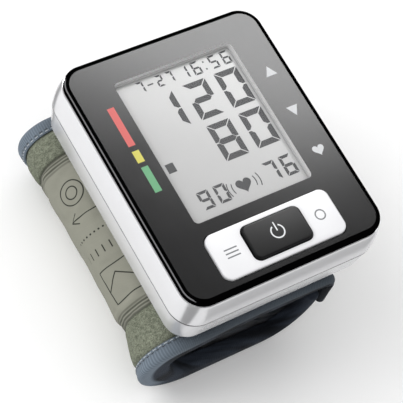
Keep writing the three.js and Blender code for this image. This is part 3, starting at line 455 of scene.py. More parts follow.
def quarter(steps):
    """Pairs of 1 - cos and 1 - sin through a quarter turn"""
    turns = [math.pi / 2 * k / steps for k in range(steps + 1)]
    return [(1 - math.cos(turn), 1 - math.sin(turn)) for turn in turns]


def rounded_ring(width, length, corner, z, steps, centre=(0, 0)):
    """Points of a rounded rectangle, anticlockwise from its right side"""
    x, y = width / 2 - corner, length / 2 - corner
    ring = []
    for quarter, (side_x, side_y) in enumerate(((1, 1), (-1, 1), (-1, -1), (1, -1))):
        for k in range(steps + 1):
            turn = math.pi / 2 * (quarter + k / steps)
            px = centre[0] + side_x * x + corner * math.cos(turn)
            py = centre[1] + side_y * y + corner * math.sin(turn)
            ring.append((px, py, z))
    return ring


def ring_faces(rows, columns, closed=False):
    """Faces over rings of as many points each; a closed skin joins its last ring to its first"""
    faces = []
    for k in range(rows if closed else rows - 1):
        here, there = k * columns, (k + 1) % rows * columns
        for i in range(columns):
            j = (i + 1) % columns
            faces.append((here + i, here + j, there + j, there + i))
    if not closed:
        faces.append(tuple(range(columns))[::-1])
        faces.append(tuple(range((rows - 1) * columns, rows * columns)))
    return faces


def loft(name, rings, closed=False):
    points = [p for ring in rings for p in ring]
    return new_piece(name, points, ring_faces(len(rings), len(rings[0]), closed), outward=True)


def slab(centre, width, length, corner, z0, z1):
    """A rounded block to cut with"""
    return loft("tool", [rounded_ring(width, length, corner, z, 8, centre) for z in (z0, z1)])


def prism(outline, y0, y1):
    """A shape drawn in XZ and carried along Y, to cut with"""
    return loft("tool", [[(x, y, z) for x, z in outline] for y in (y0, y1)])


def eased(outset, z, rounding, steps):
    """Section points that round an upper edge: from the side at its full outset to the top"""
    return [(outset - rounding * c, z - rounding * s) for c, s in quarter(steps)]


def plates(name, outlines, z, height):
    """Thin flat marks: each outline is drawn in XY and raised from z"""
    points, faces = [], []
    for outline in outlines:
        faces += [tuple(len(points) + i for i in face) for face in ring_faces(2, len(outline))]
        points += [(x, y, level) for level in (z, z + height) for x, y in outline]
    return new_piece(name, points, faces, outward=True)


# Properties that a user can change


def colour_of(name, description, *parts):
    """A colour, given as seen from 0 to 255"""
    return bpy.props.FloatVectorProperty(
        name=name, description=description, subtype="COLOR", size=3, default=srgb(*parts)
    )


def length_of(name, description, size):
    """A length, given in millimetres"""
    return bpy.props.FloatProperty(
        name=name, description=description, default=size * MM, unit="LENGTH"
    )


def share_of(name, description, share):
    return bpy.props.FloatProperty(
        name=name, description=description, default=share, min=0, max=1, subtype="FACTOR"
    )


def power_of(name, description, power):
    return bpy.props.FloatProperty(
        name=name, description=description, default=power, min=0, unit="POWER"
    )


# Housing


def side_outset(z):
    """How far the housing's side stands out from the panel's outline at a height"""
    if z < BASE_Z + BASE_ROUNDING_HEIGHT:
        turn = math.acos(1 - max(z - BASE_Z, 0) / BASE_ROUNDING_HEIGHT)
        return FOOT_OUTSET - BASE_ROUNDING_WIDTH * (1 - math.sin(turn))
    if z < PARTING_Z:
        share = (z - BASE_Z - BASE_ROUNDING_HEIGHT) / (PARTING_Z - BASE_Z - BASE_ROUNDING_HEIGHT)
        return blended(FOOT_OUTSET, PARTING_FLARE, share)
    share = min((z - PARTING_Z) / (CASE_TOP_Z - PARTING_Z), 1)
    return TOP_OUTSET + (PARTING_FLARE - TOP_OUTSET) * (1 - share**2.4) ** 0.75


def case_loft(name, side, closed=False):
    """Lofts the panel's outline through pairs of outset and height"""
    rings = []
    for outset, z in side:
        width, length = (HALF_WIDTH + outset) * 2, (HALF_LENGTH + outset) * 2
        rings.append(rounded_ring(width, length, max(PANEL_CORNER + outset, 0.6), z, 16))
    return loft(name, rings, closed)


def heights(low, high, count, crowd=1):
    """Heights from low to high; a crowd above 1 packs them near the top"""
    return [blended(low, high, 1 - (1 - k / count) ** crowd) for k in range(count + 1)]


def base_heights():
    """Heights up the rounding of the case's foot"""
    return [BASE_Z + BASE_ROUNDING_HEIGHT * c for c, _ in quarter(12)[:-1]]


def arch(radius, steps=96):
    """Everything under the cuff's saddle in the housing"""
    half = HALF_WIDTH + PARTING_FLARE
    outline = [(-half, SADDLE_CENTRE_Z), (half, SADDLE_CENTRE_Z)]
    for k in range(steps + 1):
        x = half - half * 2 * k / steps
        outline.append((x, SADDLE_CENTRE_Z + math.sqrt(radius**2 - x**2)))
    return prism(outline, -HALF_LENGTH * 2, HALF_LENGTH * 2)


def bottom_skin(name, wall, rounding):
    """The lower case's outer skin before the door and the screw holes are cut"""
    rim_z = PARTING_Z - FIT_GAP / 2
    levels = base_heights() + heights(BASE_Z + BASE_ROUNDING_HEIGHT, rim_z - rounding, 6)
    side = [(side_outset(z), z) for z in levels]
    side += eased(side_outset(rim_z), rim_z, rounding, 4)[1:]
    skin = combine(case_loft(name, side), arch(SADDLE_RADIUS))
    return combine(skin, case_hollow(wall))


def case_hollow(wall):
    """The space inside the lower case's skin"""
    low = BASE_Z + wall
    levels = [low] + [z for z in base_heights() if z > low]
    levels += heights(BASE_Z + BASE_ROUNDING_HEIGHT, PARTING_Z + OVERRUN, 6)
    hollow = case_loft("tool", [(side_outset(z) - wall, z) for z in levels])
    return combine(hollow, arch(SADDLE_RADIUS + wall))


def door_box(margin):
    """The space of the battery door"""
    low, high = node_box("battery_door")
    x0, x1 = HALF_WIDTH + side_outset(low.z - margin) - DOOR_WALL - margin, HALF_WIDTH * 2
    foot = low.z - margin
    outline = [(x0, foot), (x1, foot), (x1, PARTING_Z), (x0, PARTING_Z)]
    return prism(outline, low.y - margin, high.y + margin)


class ShellLook(bpy.types.PropertyGroup):
    colour: colour_of("Shell colour", "Colour of the white moulded case and keys", 221, 221, 223)
    roughness: share_of("Shell roughness", "Gloss of the case", 0.22)
    satin: share_of("Satin", "Share of metallic sheen in the lacquer", 0.55)
    skin: length_of("Skin", "Thickness of the remodelled outer wall", 1.2)
    edge: length_of("Edge rounding", "Rounding along the parting line", 0.25)
    rib_radius: length_of("Rib radius", "Radius of the door's finger ribs", 0.35)
    rib_length: length_of("Rib length", "Length of the door's finger ribs", 16)
    rib_pitch: length_of("Rib pitch", "Spacing of the door's finger ribs", 1.6)
    rib_count: bpy.props.IntProperty(name="Ribs", description="Ribs on the door", default=3, min=1)


class MONITOR_OT_shell(bpy.types.Operator):
    """Upper and lower case and battery door with smooth outer walls"""

    bl_idname = "monitor.shell"
    bl_label = "Case and battery door"

    def execute(self, context):
        look = context.scene.monitor_shell
        wall, rounding = look.skin / MM, look.edge / MM
        # True gives the case painted shade in the seam between the cases
        white = moulded("white_case", look.colour, look.roughness, True, metallic=look.satin)
        self.top(wall, rounding, white)
        lower = combine(bottom_skin("lower_case", wall, rounding), door_box(FIT_GAP))
        self.screw_holes(lower)
        cover = combine(bottom_skin("battery_cover", wall, rounding), door_box(0), "INTERSECT")
        for skin, body, node in (
            (lower, "housing", "bottom_case"),
            (cover, "battery_door_body", "battery_door"),
        ):
            joined(skin, combine(node_copy(node), case_hollow(wall), "INTERSECT"))
            finish_with(skin, white, body, [node])
        door_ribs(look, white)
        return {"FINISHED"}

    def top(self, wall, rounding, material):
        foot_z = PARTING_Z + FIT_GAP / 2
        rim = eased(side_outset(foot_z), foot_z, rounding, 4)
        levels = heights(foot_z + rounding, CASE_TOP_Z, 22, crowd=1.8)
        side = [(outset, 2 * foot_z - z) for outset, z in rim[:0:-1]]
        side += [(side_outset(z), z) for z in levels]
        side += [(side_outset(z) - wall, z) for z in [foot_z, *levels][::-1]]
        skin = case_loft("upper_case", side, closed=True)
        levels = [foot_z - CORE_DEPTH, *levels[:-1], CASE_TOP_Z + OVERRUN]
        within = case_loft("tool", [(side_outset(max(z, foot_z)) - wall, z) for z in levels])
        joined(skin, combine(node_copy("top_case"), within, "INTERSECT"))
        finish_with(skin, material, "housing", ["top_case"])

    def screw_holes(self, skin):
        x, y = HALF_WIDTH - SCREW_INSET[0], HALF_LENGTH - SCREW_INSET[1]
        width, corner = SCREW_HOLE_RADIUS * 2, SCREW_HOLE_RADIUS - 0.001
        ends = BASE_Z - OVERRUN, BASE_Z + 3
        for centre in ((-x, -y), (-x, y), (x, -y), (x, y)):
            combine(skin, slab(centre, width, width, corner, *ends))


def repeated(name, lines, tree, material, **values):
    """Runs a Geometry Nodes tree on open runs of points and keeps the plain mesh that it gives"""
    points, edges = [], []
    for line in lines:
        edges += [(k - 1, k) for k in range(len(points) + 1, len(points) + len(line))]
        points += list(line)
    piece = added(name, raw_mesh(name, points, edges))
    modifier = piece.modifiers.new("repeat", "NODES")
    modifier.node_group = tree
    for item in tree.interface.items_tree:
        if item.in_out == "INPUT" and item.name in values:
            modifier[item.identifier] = values[item.name]
    settle(piece)
    if not piece.data.polygons:
        raise RuntimeError(f"{name} came out empty")
    piece.data.shade_smooth()
    wear(piece, material)
    return piece


def capsule_tree(name, material):
    """Capsules laid along the edges of a mesh: stitches on a seam, or ribs on a door"""
    tree = bpy.data.node_groups.new(name, "GeometryNodeTree")
    tree.interface.new_socket("Geometry", in_out="INPUT", socket_type="NodeSocketGeometry")
    for label in ("Pitch", "Length", "Radius"):
        tree.interface.new_socket(label, in_out="INPUT", socket_type="NodeSocketFloat")
    tree.interface.new_socket("Geometry", in_out="OUTPUT", socket_type="NodeSocketGeometry")

    def node(kind, inputs=(), **settings):
        return add_node(tree, kind, inputs, **settings)

    given = node("NodeGroupInput")
    path = node("GeometryNodeMeshToCurve", [given["Geometry"]])
    even = node("GeometryNodeResampleCurve", {0: path[0], "Length": given["Pitch"]}, mode="LENGTH")
    tangent = node("GeometryNodeInputTangent")
    turn = node("FunctionNodeAlignEulerToVector", {"Vector": tangent[0]}, axis="X")
    ball = node("GeometryNodeMeshUVSphere", {"Segments": 8, "Rings": 6, "Radius": 1})
    half = node("ShaderNodeMath", [given["Length"], 2], operation="DIVIDE")
    size = node("ShaderNodeCombineXYZ", [half[0], given["Radius"], given["Radius"]])
    grain = node("GeometryNodeTransform", {"Geometry": ball["Mesh"], "Scale": size[0]})
    placed = {"Points": even[0], "Instance": grain[0], "Rotation": turn[0]}
    row = node("GeometryNodeInstanceOnPoints", placed)
    real = node("GeometryNodeRealizeInstances", [row[0]])
    dressed = node("GeometryNodeSetMaterial", {"Geometry": real[0], "Material": material})
    node("NodeGroupOutput", [dressed[0]])
    return tree


def door_ribs(look, material):
    """Finger ribs on the battery door, each a slim capsule"""
    middle = blended(node_box("battery_door")[0].z, PARTING_Z, 0.62)
    lines, reach = [], 0.01
    for k in range(look.rib_count):
        z = middle + (k - (look.rib_count - 1) / 2) * (look.rib_pitch / MM)
        x = HALF_WIDTH + side_outset(z)
        lines.append([(x, -reach, z), (x, reach, z)])
    values = {"Pitch": 1.0, "Length": look.rib_length, "Radius": look.rib_radius}
    ribs = repeated("door_ribs", lines, capsule_tree("Finger ribs", material), material, **values)
    finish_with(ribs, None, "battery_door_body")


# Panel, window and keys


class PanelLook(bpy.types.PropertyGroup):
    colour: colour_of("Panel colour", "Colour of the black panel", 17, 17, 18)
    roughness: share_of("Panel roughness", "Gloss of the panel", 0.185)
    edge_width: length_of("Edge width", "Width of the panel's rolled edge", 1.1)
    edge_height: length_of("Edge height", "Fall of the panel's rolled edge", 0.8)
    # The border is painted shade: a darker copy of the panel's black without gloss, as is the
    # rolled edge
    border: length_of("Border", "Width of the panel's deep black border", 1.5)
    key_edge: length_of("Key edge", "Rounding of the keys' upper edges", 0.5)
    key_gap: length_of("Key gap", "Gap round the keys", 0.35)


def middle_of(node):
    low, high = node_box(node)
    return ((low.x + high.x) / 2, (low.y + high.y) / 2)


KEY_CENTRE = middle_of("power_button")

# Painted highlight: a fixed grey line on the rolled edge's left side, with no gloss. How far from
# the left it reaches, and which part of the edge's width it takes
PAINTED_GLINT_REACH = 2
PAINTED_GLINT_START, PAINTED_GLINT_END = 0.18, 0.5


def outline_distance(point):
    """Distance of a point from the panel's outline, negative inside"""
    x, y = abs(point.x) - HALF_WIDTH + PANEL_CORNER, abs(point.y) - HALF_LENGTH + PANEL_CORNER
    return math.hypot(max(x, 0), max(y, 0)) + min(max(x, y), 0) - PANEL_CORNER


class MONITOR_OT_panel(bpy.types.Operator):
    """Glossy black panel with its rolled edge, the display window and its grey border. The rolled
    edge and the panel's outer border carry painted shade: a darker copy of the panel's black
    without gloss. The left of the edge carries a painted highlight line
    """

    bl_idname = "monitor.panel"
    bl_label = "Front panel and window"

    def execute(self, context):
        look = context.scene.monitor_panel
        width, height = look.edge_width / MM, look.edge_height / MM
        border, gap = look.border / MM, look.key_gap / MM
        side = [(-width * c, FACE_Z - height * s) for c, s in quarter(8)]
        plate = case_loft("display_panel", [(0, PANEL_UNDER_Z), *side, (-border, FACE_Z)])
        outer = -CASE_RIM_WIDTH - FIT_GAP
        inner = outer - SKIRT_WALL
        low, high = PANEL_UNDER_Z - SKIRT_DEPTH, PANEL_UNDER_Z + SKIRT_LAP
        ring = [(outer, high), (outer, low), (inner, low), (inner, high)]
        skirt = case_loft("skirt", ring, closed=True)
        centre, (low, high) = middle_of("display_window"), node_box("display_window")
        across, along = (side + FIT_GAP * 2 for side in (high - low).xy)
        ends = PANEL_UNDER_Z - OVERRUN, FACE_Z + OVERRUN
        combine(plate, slab(centre, across, along, WINDOW_CORNER, *ends))
        key_size = KEY_WIDTH + gap * 2, KEY_LENGTH + gap * 2
        combine(plate, slab(KEY_CENTRE, *key_size, KEY_CORNER + gap, *ends))
        joined(plate, skirt, 20)
        gloss = glossy_black("panel_face", look.colour, look.roughness)
        finish_with(plate, gloss, "housing", ["front_panel"])
        # Painted shade: the rolled edge and the border are a darker copy of the panel's black with
        # no gloss
        edge = moulded("panel_edge", shade(look.colour, 0.15), 0.3, specular_ior_level=0.0)
        rim = moulded("window_rim", srgb(216, 216, 216), 0.4, specular_ior_level=0.2)
        painted_glint = moulded("edge_glint", srgb(112, 112, 114), 0.3, specular_ior_level=0.0)
        wear(plate, gloss, edge, rim, painted_glint)
        close = 0.1
        for face in plate.data.polygons:
            place = face.center / MM
            inward = -outline_distance(place)
            x, y = abs(place.x - centre[0]), abs(place.y - centre[1])
            at_left = place.x < PAINTED_GLINT_REACH - HALF_WIDTH and place.z > FACE_Z - height
            if face.normal.z > 0.999 and inward > border - 0.01:
                face.material_index = 0
            # Painted highlight: a grey line along the left of the rolled edge
            elif at_left and PAINTED_GLINT_START < inward / width < PAINTED_GLINT_END:
                face.material_index = 3
            else:
                in_window = x < across / 2 + close and y < along / 2 + close
                face.material_index = 2 if in_window else 1
        wear(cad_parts["display_window"], clear_window())
        return {"FINISHED"}


def glossy_black(name, colour, roughness):
    """Black gloss with a faint haze of fine scuffs"""
    finish = Finish(name, colour, specular_ior_level=0.15)
    haze = finish.grain(finish.place(), 14)
    scuffs = finish.grain(finish.stretched(1, 0.2, 1), 0.6, 3)
    gloss = haze * 0.04 + scuffs * 0.03 + (roughness - 0.035)
    return finish.done(finish.tones(colour, 0.8, haze), gloss)


def clear_window():
    finish = Finish("clear_window", (0.9, 0.9, 0.9), specular_ior_level=0.06)
    haze = finish.grain(finish.place(), 10)
    finish.set("Alpha", haze * 0.015 + 0.02)
    finish.set("Roughness", haze * 0.05 + 0.12)
    return finish.material


def key_cap(name, node, width, length, corner, edge, split_z):
    """A key's fine upper part, and the CAD key's lower part"""
    low, high = node_box(node)
    rings = [
        rounded_ring(width + out * 2, length + out * 2, corner + out, z, 10, KEY_CENTRE)
        for out, z in [(0, split_z), *eased(0, high.z, edge, 8)]
    ]
    reach = HALF_WIDTH * 2
    under = slab(KEY_CENTRE, reach, reach, corner, low.z - OVERRUN, split_z)
    return loft(name, rings), combine(node_copy(node), under, "INTERSECT")


class MONITOR_OT_keys(bpy.types.Operator):
    """White rocking key plate and the black power button in its middle"""

    bl_idname = "monitor.keys"
    bl_label = "Keys"

    def execute(self, context):
        look, shell = context.scene.monitor_panel, context.scene.monitor_shell
        edge, gap = look.key_edge / MM, look.key_gap / MM
        split_z = FACE_Z - 1
        size = KEY_WIDTH, KEY_LENGTH, KEY_CORNER
        cap, core = key_cap("key_plate", "mode_key", *size, edge, split_z)
        foot_z, key_z = split_z - OVERRUN, node_box("mode_key")[1].z
        opening = BUTTON_WIDTH + gap * 2, BUTTON_LENGTH + gap * 2, BUTTON_CORNER + gap
        combine(cap, slab(KEY_CENTRE, *opening, foot_z, key_z + OVERRUN))
        hollow = KEY_WIDTH - KEY_WALL * 2, KEY_LENGTH - KEY_WALL * 2, KEY_CORNER - KEY_WALL
        combine(cap, slab(KEY_CENTRE, *hollow, foot_z, key_z - KEY_SKIN))
        joined(cap, core)
        colour = shade(shell.colour, 1.08)
        white = moulded("white_key", colour, shell.roughness + 0.08, specular_ior_level=0.3)
        finish_with(cap, white, "mode_key_body", ["mode_key"])
        size = BUTTON_WIDTH, BUTTON_LENGTH, BUTTON_CORNER
        button, stem = key_cap("power_key", "power_button", *size, edge, split_z)
        joined(button, stem)
        black = moulded("black_key", shade(look.colour, 0.6), 0.32, specular_ior_level=0.1)
        finish_with(button, black, "power_button_body", ["power_button"])
        return {"FINISHED"}


# Display and marks

# Lit bars of each digit, named as on any seven-bar display
SEGMENTS = {
    "0": "abcdef",
    "1": "bc",
    "2": "abged",
    "5": "afgcd",
    "6": "afgedc",
    "7": "abc",
    "8": "abcdefg",
    "9": "abcdfg",
}

# Each reading: characters with their left edges, then the foot, width, height and stroke
READINGS = [
    ([("1", -11.1), ("2", 0.2), ("0", 11.1)], 11.5, 7.8, 12.3, 1.85),
    ([("8", 0.2), ("0", 11.1)], -3.0, 7.8, 12.3, 1.85),
    ([("7", 9.0), ("6", 14.7)], -14.2, 4.0, 6.6, 0.95),
    ([("9", -13.5), ("0", -8.1)], -14.2, 3.7, 5.8, 0.85),
    ([("7", -12.3), ("2", -5.9), ("7", -2.5)], 25.9, 2.2, 3.8, 0.55),
    ([("1", 1.9), ("6", 6.1), ("5", 12.1), ("6", 16.3)], 25.3, 2.7, 4.5, 0.6),
]

# Sides of the date's dash, the time's two dots and the pointer beside the coloured bars
DISPLAY_BARS = [
    (-9.0, -7.1, 27.5, 27.95),
    (10.1, 10.6, 28.4, 28.9),
    (10.1, 10.6, 25.9, 26.4),
    (-17.3, -14.7, -0.1, 2.9),
]
PULSE_X, PULSE_Y = 1.1, -11.7
BAR_LEFT, BAR_RIGHT = -25.0, -22.8
MARK_X = 26.4
INK_HEIGHT = 0.02


def segment_outlines(character, left, foot, width, height, stroke):
    """Outlines of a seven-bar digit's lit bars, mitred at the corners with slim gaps between"""
    gap = 0.08 + stroke * 0.07
    x0, x1, y0, y2 = left, left + width, foot, foot + height
    y1, half = (y0 + y2) / 2, stroke / 2
    inside, edge = x1 - stroke, y2 - stroke
    top = [(x0 + gap, y2), (x1 - gap, y2), (inside - gap, edge), (x0 + stroke + gap, edge)]
    upper = [(x1, y2 - gap), (x1, y1 + gap), (x1 - half, y1 + gap), (inside, y1 + half + gap),
             (inside, edge - gap)]
    middle = [(x0 + half, y1), (x0 + stroke, y1 + half), (inside, y1 + half), (x1 - half, y1),
              (inside, y1 - half), (x0 + stroke, y1 - half)]
    across = [(x0 + x1 - x, y) for x, y in upper]
    bars = {"a": top, "b": upper, "f": across, "g": middle}
    for below, above in zip("dce", (top, upper, across)):
        bars[below] = [(x, y0 + y2 - y) for x, y in above]
    return [bars[bar] for bar in SEGMENTS[character]]


def oblong(x0, x1, y0, y1):
    return [(x0, y0), (x1, y0), (x1, y1), (x0, y1)]


def arc_band(centre, radius, stroke, start, end, steps):
    """Outline of a curved stroke; start and end are in degrees"""
    outline = []
    there = range(steps + 1)
    for r, order in ((radius + stroke / 2, there), (radius - stroke / 2, reversed(there))):
        for k in order:
            turn = math.radians(blended(start, end, k / steps))
            outline.append((centre[0] + r * math.cos(turn), centre[1] + r * math.sin(turn)))
    return outline


def heart(centre, width, height, steps=36):
    outline = []
    for k in range(steps):
        t = math.tau * k / steps
        x = math.sin(t) ** 3
        y = (13 * math.cos(t) - 5 * math.cos(2 * t) - 2 * math.cos(3 * t) - math.cos(4 * t)) / 16
        outline.append((centre[0] + x * width / 2, centre[1] + (y + 0.15) * height / 1.8))
    return outline[::-1]


class DisplayLook(bpy.types.PropertyGroup):
    cell_colour: colour_of("Display colour", "Pale ground of the display", 186, 186, 186)
    digit_colour: colour_of("Digit colour", "Dark grey of the digits", 48, 49, 52)
    high_colour: colour_of("High mark", "Bar for high readings", 208, 92, 88)
    middle_colour: colour_of("Raised mark", "Bar for raised readings", 206, 198, 84)
    low_colour: colour_of("Normal mark", "Bar for normal readings", 98, 164, 118)


class MONITOR_OT_display(bpy.types.Operator):
    """Digits on the display, and plain marks on the panel and the keys"""

    bl_idname = "monitor.display"
    bl_label = "Digits and marks"

    def execute(self, context):
        look = context.scene.monitor_display
        outlines = []
        for characters, *shape in READINGS:
            for character, left in characters:
                outlines += segment_outlines(character, left, *shape)
        outlines += [oblong(*sides) for sides in DISPLAY_BARS]
        outlines.append(heart((PULSE_X, PULSE_Y), 5, 4.4))
        for middle in (180, 0):
            for reach in (3.9, 5.3):
                centre = (PULSE_X, PULSE_Y + 0.3)
                outlines.append(arc_band(centre, reach, 0.3, middle - 24, middle + 24, 10))
        digits = plates("display_digits", outlines, node_box("lcd_cell")[1].z, 0.03)
        ink = flat_ink("digit_ink", look.digit_colour, 0.5)
        finish_with(digits, ink, "housing")
        for name, colour, low, high in (
            ("high_mark", look.high_colour, 11.0, 24.1),
            ("raised_mark", look.middle_colour, 5.4, 9.3),
            ("normal_mark", look.low_colour, -4.6, 3.9),
        ):
            bar = [oblong(BAR_LEFT, BAR_RIGHT, low, high)]
            self.printed(name, bar, FACE_Z, flat_ink(name, colour, 0.35), "housing", "panel")
        self.pictograms()
        self.key_marks()
        return {"FINISHED"}

    def printed(self, name, outlines, z, ink, body, slot):
        finish_with(plates(name, outlines, z, INK_HEIGHT), ink, body)

    def pictograms(self):
        """Plain shapes beside the readings"""
        left, x, right = MARK_X - 1.9, MARK_X, MARK_X + 1.9
        marks = [
            [(left, 15.9), (right, 15.9), (x, 19.2)],
            [(left, 4.7), (x, 1.4), (right, 4.7)],
            heart((x, -11.2), 3.8, 3.4),
        ]
        pale = flat_ink("panel_ink", srgb(206, 208, 210), 0.4)
        self.printed("panel_marks", marks, FACE_Z, pale, "housing", "panel")

    def key_marks(self):
        """Three bars, a ring and the common sign for power"""
        x, y = KEY_CENTRE
        rows = (y - 1.2, y, y + 1.2)
        marks = [oblong(x - 16.9, x - 12.7, row - 0.2, row + 0.2) for row in rows]
        marks.append(arc_band((x + 14.8, y), 1.5, 0.4, 0, 359, 32))
        symbol = [arc_band((x + 0.05, y + 0.1), 2.0, 0.42, 118, 422, 40)]
        symbol.append(oblong(x - 0.15, x + 0.25, y + 0.3, y + 3.1))
        grey = flat_ink("key_ink", srgb(120, 122, 125), 0.4)
        white = flat_ink("button_ink", srgb(228, 230, 232), 0.4)
        key_z, button_z = (node_box(node)[1].z for node in ("mode_key", "power_button"))
        self.printed("key_marks", marks, key_z, grey, "mode_key_body", "button")
        self.printed("power_symbol", symbol, button_z, white, "power_button_body", "button")


# Cuff


def arc(centre, radius, start, end, count=160):
    turns = np.linspace(start, end, count)
    return np.stack([centre[0] + radius * np.cos(turns), centre[1] + radius * np.sin(turns)], 1)


def bezier(points, count=200):
    t = np.linspace(0, 1, count)[:, None]
    a, b, c, d = (np.array(p, float) for p in points)
    return (1 - t) ** 3 * a + 3 * (1 - t) ** 2 * t * b + 3 * (1 - t) * t**2 * c + t**3 * d


def lengths_along(points):
    steps = np.linalg.norm(np.diff(points, axis=0), axis=1)
    return np.concatenate([[0], np.cumsum(steps)])


def bend_radius(run, drop, angle):
    """Radius of the bend from a wall that leaves the saddle at an angle down to the vertical"""
    rise = math.cos(angle) - (1 - math.sin(angle)) * math.tan(angle)
    return (drop - run * math.tan(angle)) / rise


def upper_outline():
    right_turn, left_turn = (math.asin(x / CUFF_RADIUS) for x in (SADDLE_RIGHT, SADDLE_LEFT))
    right_z, left_z = (
        SADDLE_CENTRE_Z + math.sqrt(CUFF_RADIUS**2 - x * x) for x in (SADDLE_RIGHT, SADDLE_LEFT)
    )
    start_z, end_z = STRAP_TOP_Z + FIT_GAP / 2, CUFF_SPLIT_Z + FIT_GAP / 2
    right = bend_radius(STRAP_PATH_X - SADDLE_RIGHT, right_z - start_z, right_turn)
    left = bend_radius(-SADDLE_LEFT - CUFF_SPLIT_X, left_z - end_z, left_turn)
    quarter = math.pi / 2
    parts = [
        arc((STRAP_PATH_X - right, start_z), right, 0, quarter - right_turn),
        arc((0, SADDLE_CENTRE_Z), CUFF_RADIUS, quarter - right_turn, quarter + left_turn),
        arc((CUFF_SPLIT_X + left, end_z), left, quarter + left_turn, math.pi),
    ]
    return np.concatenate(parts)


def lower_outline():
    parts = [
        bezier([(CUFF_SPLIT_X, CUFF_SPLIT_Z - FIT_GAP / 2),
                (CUFF_SPLIT_X, CUFF_SPLIT_Z - HEEL_DROP),
                (-REST_LEFT - HEEL_REACH, TAPE_SPAN), (-REST_LEFT, TAPE_SPAN)]),
        np.array([(-REST_LEFT, TAPE_SPAN), (REST_RIGHT, TAPE_SPAN)], float),
        bezier([(REST_RIGHT, TAPE_SPAN), (REST_RIGHT + LAP_REACH, TAPE_SPAN),
                (LAP_X, LAP_TOP_Z - LAP_DROP), (LAP_X, LAP_TOP_Z)]),
    ]
    return np.concatenate(parts)


def strap_outline():
    reach = (STRAP_TOP_Z - STRAP_FOOT_Z) / 3
    x, top_z = STRAP_PATH_X, STRAP_TOP_Z
    return bezier([(x - STRAP_FOOT_LEAN, STRAP_FOOT_Z), (x, STRAP_FOOT_Z + reach),
                   (x, top_z - reach), (x, top_z - FIT_GAP / 2)])


class Wrap:
    """Evenly spaced stations along an outline, each with its inward normal, flare and wall"""

    def __init__(self, points, flare, wall, pitch):
        along = lengths_along(points)
        keep = np.concatenate([[True], np.diff(along) > 1e-6])
        points, along, flare, wall = points[keep], along[keep], flare[keep], wall[keep]
        count = int(round(along[-1] / pitch))
        self.u = np.linspace(0, along[-1], count + 1)
        self.x = np.interp(self.u, along, points[:, 0])
        self.z = np.interp(self.u, along, points[:, 1])
        self.flare = np.interp(self.u, along, flare)
        self.wall = np.interp(self.u, along, wall)
        tangent = np.gradient(np.stack([self.x, self.z], 1), self.u, axis=0)
        tangent /= np.linalg.norm(tangent, axis=1, keepdims=True)
        self.nx, self.nz = -tangent[:, 1], tangent[:, 0]

    def points(self, inset, y):
        """Places at insets and lengthwise positions given as stations by columns"""
        depth = np.clip(inset / self.wall[:, None], 0, 1)
        swell = self.flare[:, None] * flare_at(y) * blended(1, INNER_FLARE_SHARE, depth)
        reach = inset - swell
        x = self.x[:, None] + self.nx[:, None] * reach
        z = self.z[:, None] + self.nz[:, None] * reach
        return np.stack([x, np.broadcast_to(y, x.shape), z], 2)


def flare_at(y):
    return np.where(y < 0, FRONT_FLARE, REAR_FLARE) * np.abs(y / CUFF_HALF_LENGTH) ** 3


def main_wrap(pitch=1.1):
    upper, lower = upper_outline(), lower_outline()
    upper_share, lower_share = (along / along[-1] for along in map(lengths_along, (upper, lower)))
    swollen = smooth(FLARE_START_SHARE, 1, upper_share)
    upper_wall = blended(LAP_WALL, blended(TOP_WALL, HEEL_WALL, swollen),
                         smooth(THIN_START_SHARE, THIN_END_SHARE, upper_share))
    lower_flare = 1 - smooth(0, FLARE_END_SHARE, lower_share)
    thin = smooth(LAP_START_SHARE - THIN_END_SHARE, LAP_START_SHARE, lower_share)
    lower_wall = blended(HEEL_WALL, LAP_WALL, thin)
    return Wrap(
        np.concatenate([upper, lower]),
        np.concatenate([swollen, lower_flare]),
        np.concatenate([upper_wall, lower_wall]),
        pitch,
    )


def strap_wrap(pitch):
    points = strap_outline()
    return Wrap(points, np.zeros(len(points)), np.full(len(points), CLOTH_THICKNESS), pitch)


def swept(name, wrap, inset, y, outer):
    """Skins closed sections across a wrap. inset, y and outer are stations by columns, and the
    piece keeps where each point lies as an attribute"""
    places = wrap.points(inset, y)
    shape = places.shape[:2]
    piece = new_piece(name, places.reshape(-1, 3), ring_faces(*shape), outward=True, angle=50)
    lay = np.stack([np.broadcast_to(part, shape) for part in (wrap.u[:, None], y, outer)], 2)
    attribute = piece.data.attributes.new("lay", "FLOAT_VECTOR", "POINT")
    attribute.data.foreach_set("vector", lay.astype(np.float32).ravel())
    return piece


def wrinkle(u, y, pitch_u, pitch_y, seed):
    """Smooth noise from -1 to 1 over the cloth"""
    us, ys = np.broadcast_arrays(u, y)
    places = zip((us / pitch_u).flat, (ys / pitch_y).flat)
    return np.reshape([noise.noise(Vector((a, b, seed))) for a, b in places], us.shape)


def band_reach(y):
    """Distance past the inner edge of the napped band, negative in the smooth middle"""
    return np.abs(y) - np.where(y < 0, FRONT_BAND_Y, REAR_BAND_Y)


# Creases beside a napped band: distance past its inner edge, depth and reach
CREASES = ((0, 0.7, 0.9), (-1.1, 0.4, 0.6), (-2.1, 0.42, 0.6), (-3.0, 0.22, 0.5))


def crown(y):
    """How proud the outer cloth stands between its bound edges, with creases beside the bands"""
    past = band_reach(y)
    width = BOUND_Y - np.abs(y) + past
    swell = np.sin(np.pi * np.clip(past / width, 0, 1)) ** 0.7
    height = np.where(past < 0, 1.15, 1.16 + 0.34 * swell)
    for place, depth, reach in CREASES:
        height = height - depth * bump_at(place, reach, past)
    return height * (1 - smooth(BOUND_Y - 1.4, BOUND_Y + 0.4, np.abs(y)))


def cross_grid(wrap, half, outer_columns, inner_columns):
    """Lengthwise places and faces (1 outer, 0 inner) of a sheet, as stations by columns"""
    there, back = np.linspace(-1, 1, outer_columns), np.linspace(1, -1, inner_columns)
    rows = np.ones((len(wrap.u), 1))
    faces = np.repeat([1.0, 0.0], [outer_columns, inner_columns])
    return np.concatenate([there, back]) * half * rows, faces * rows


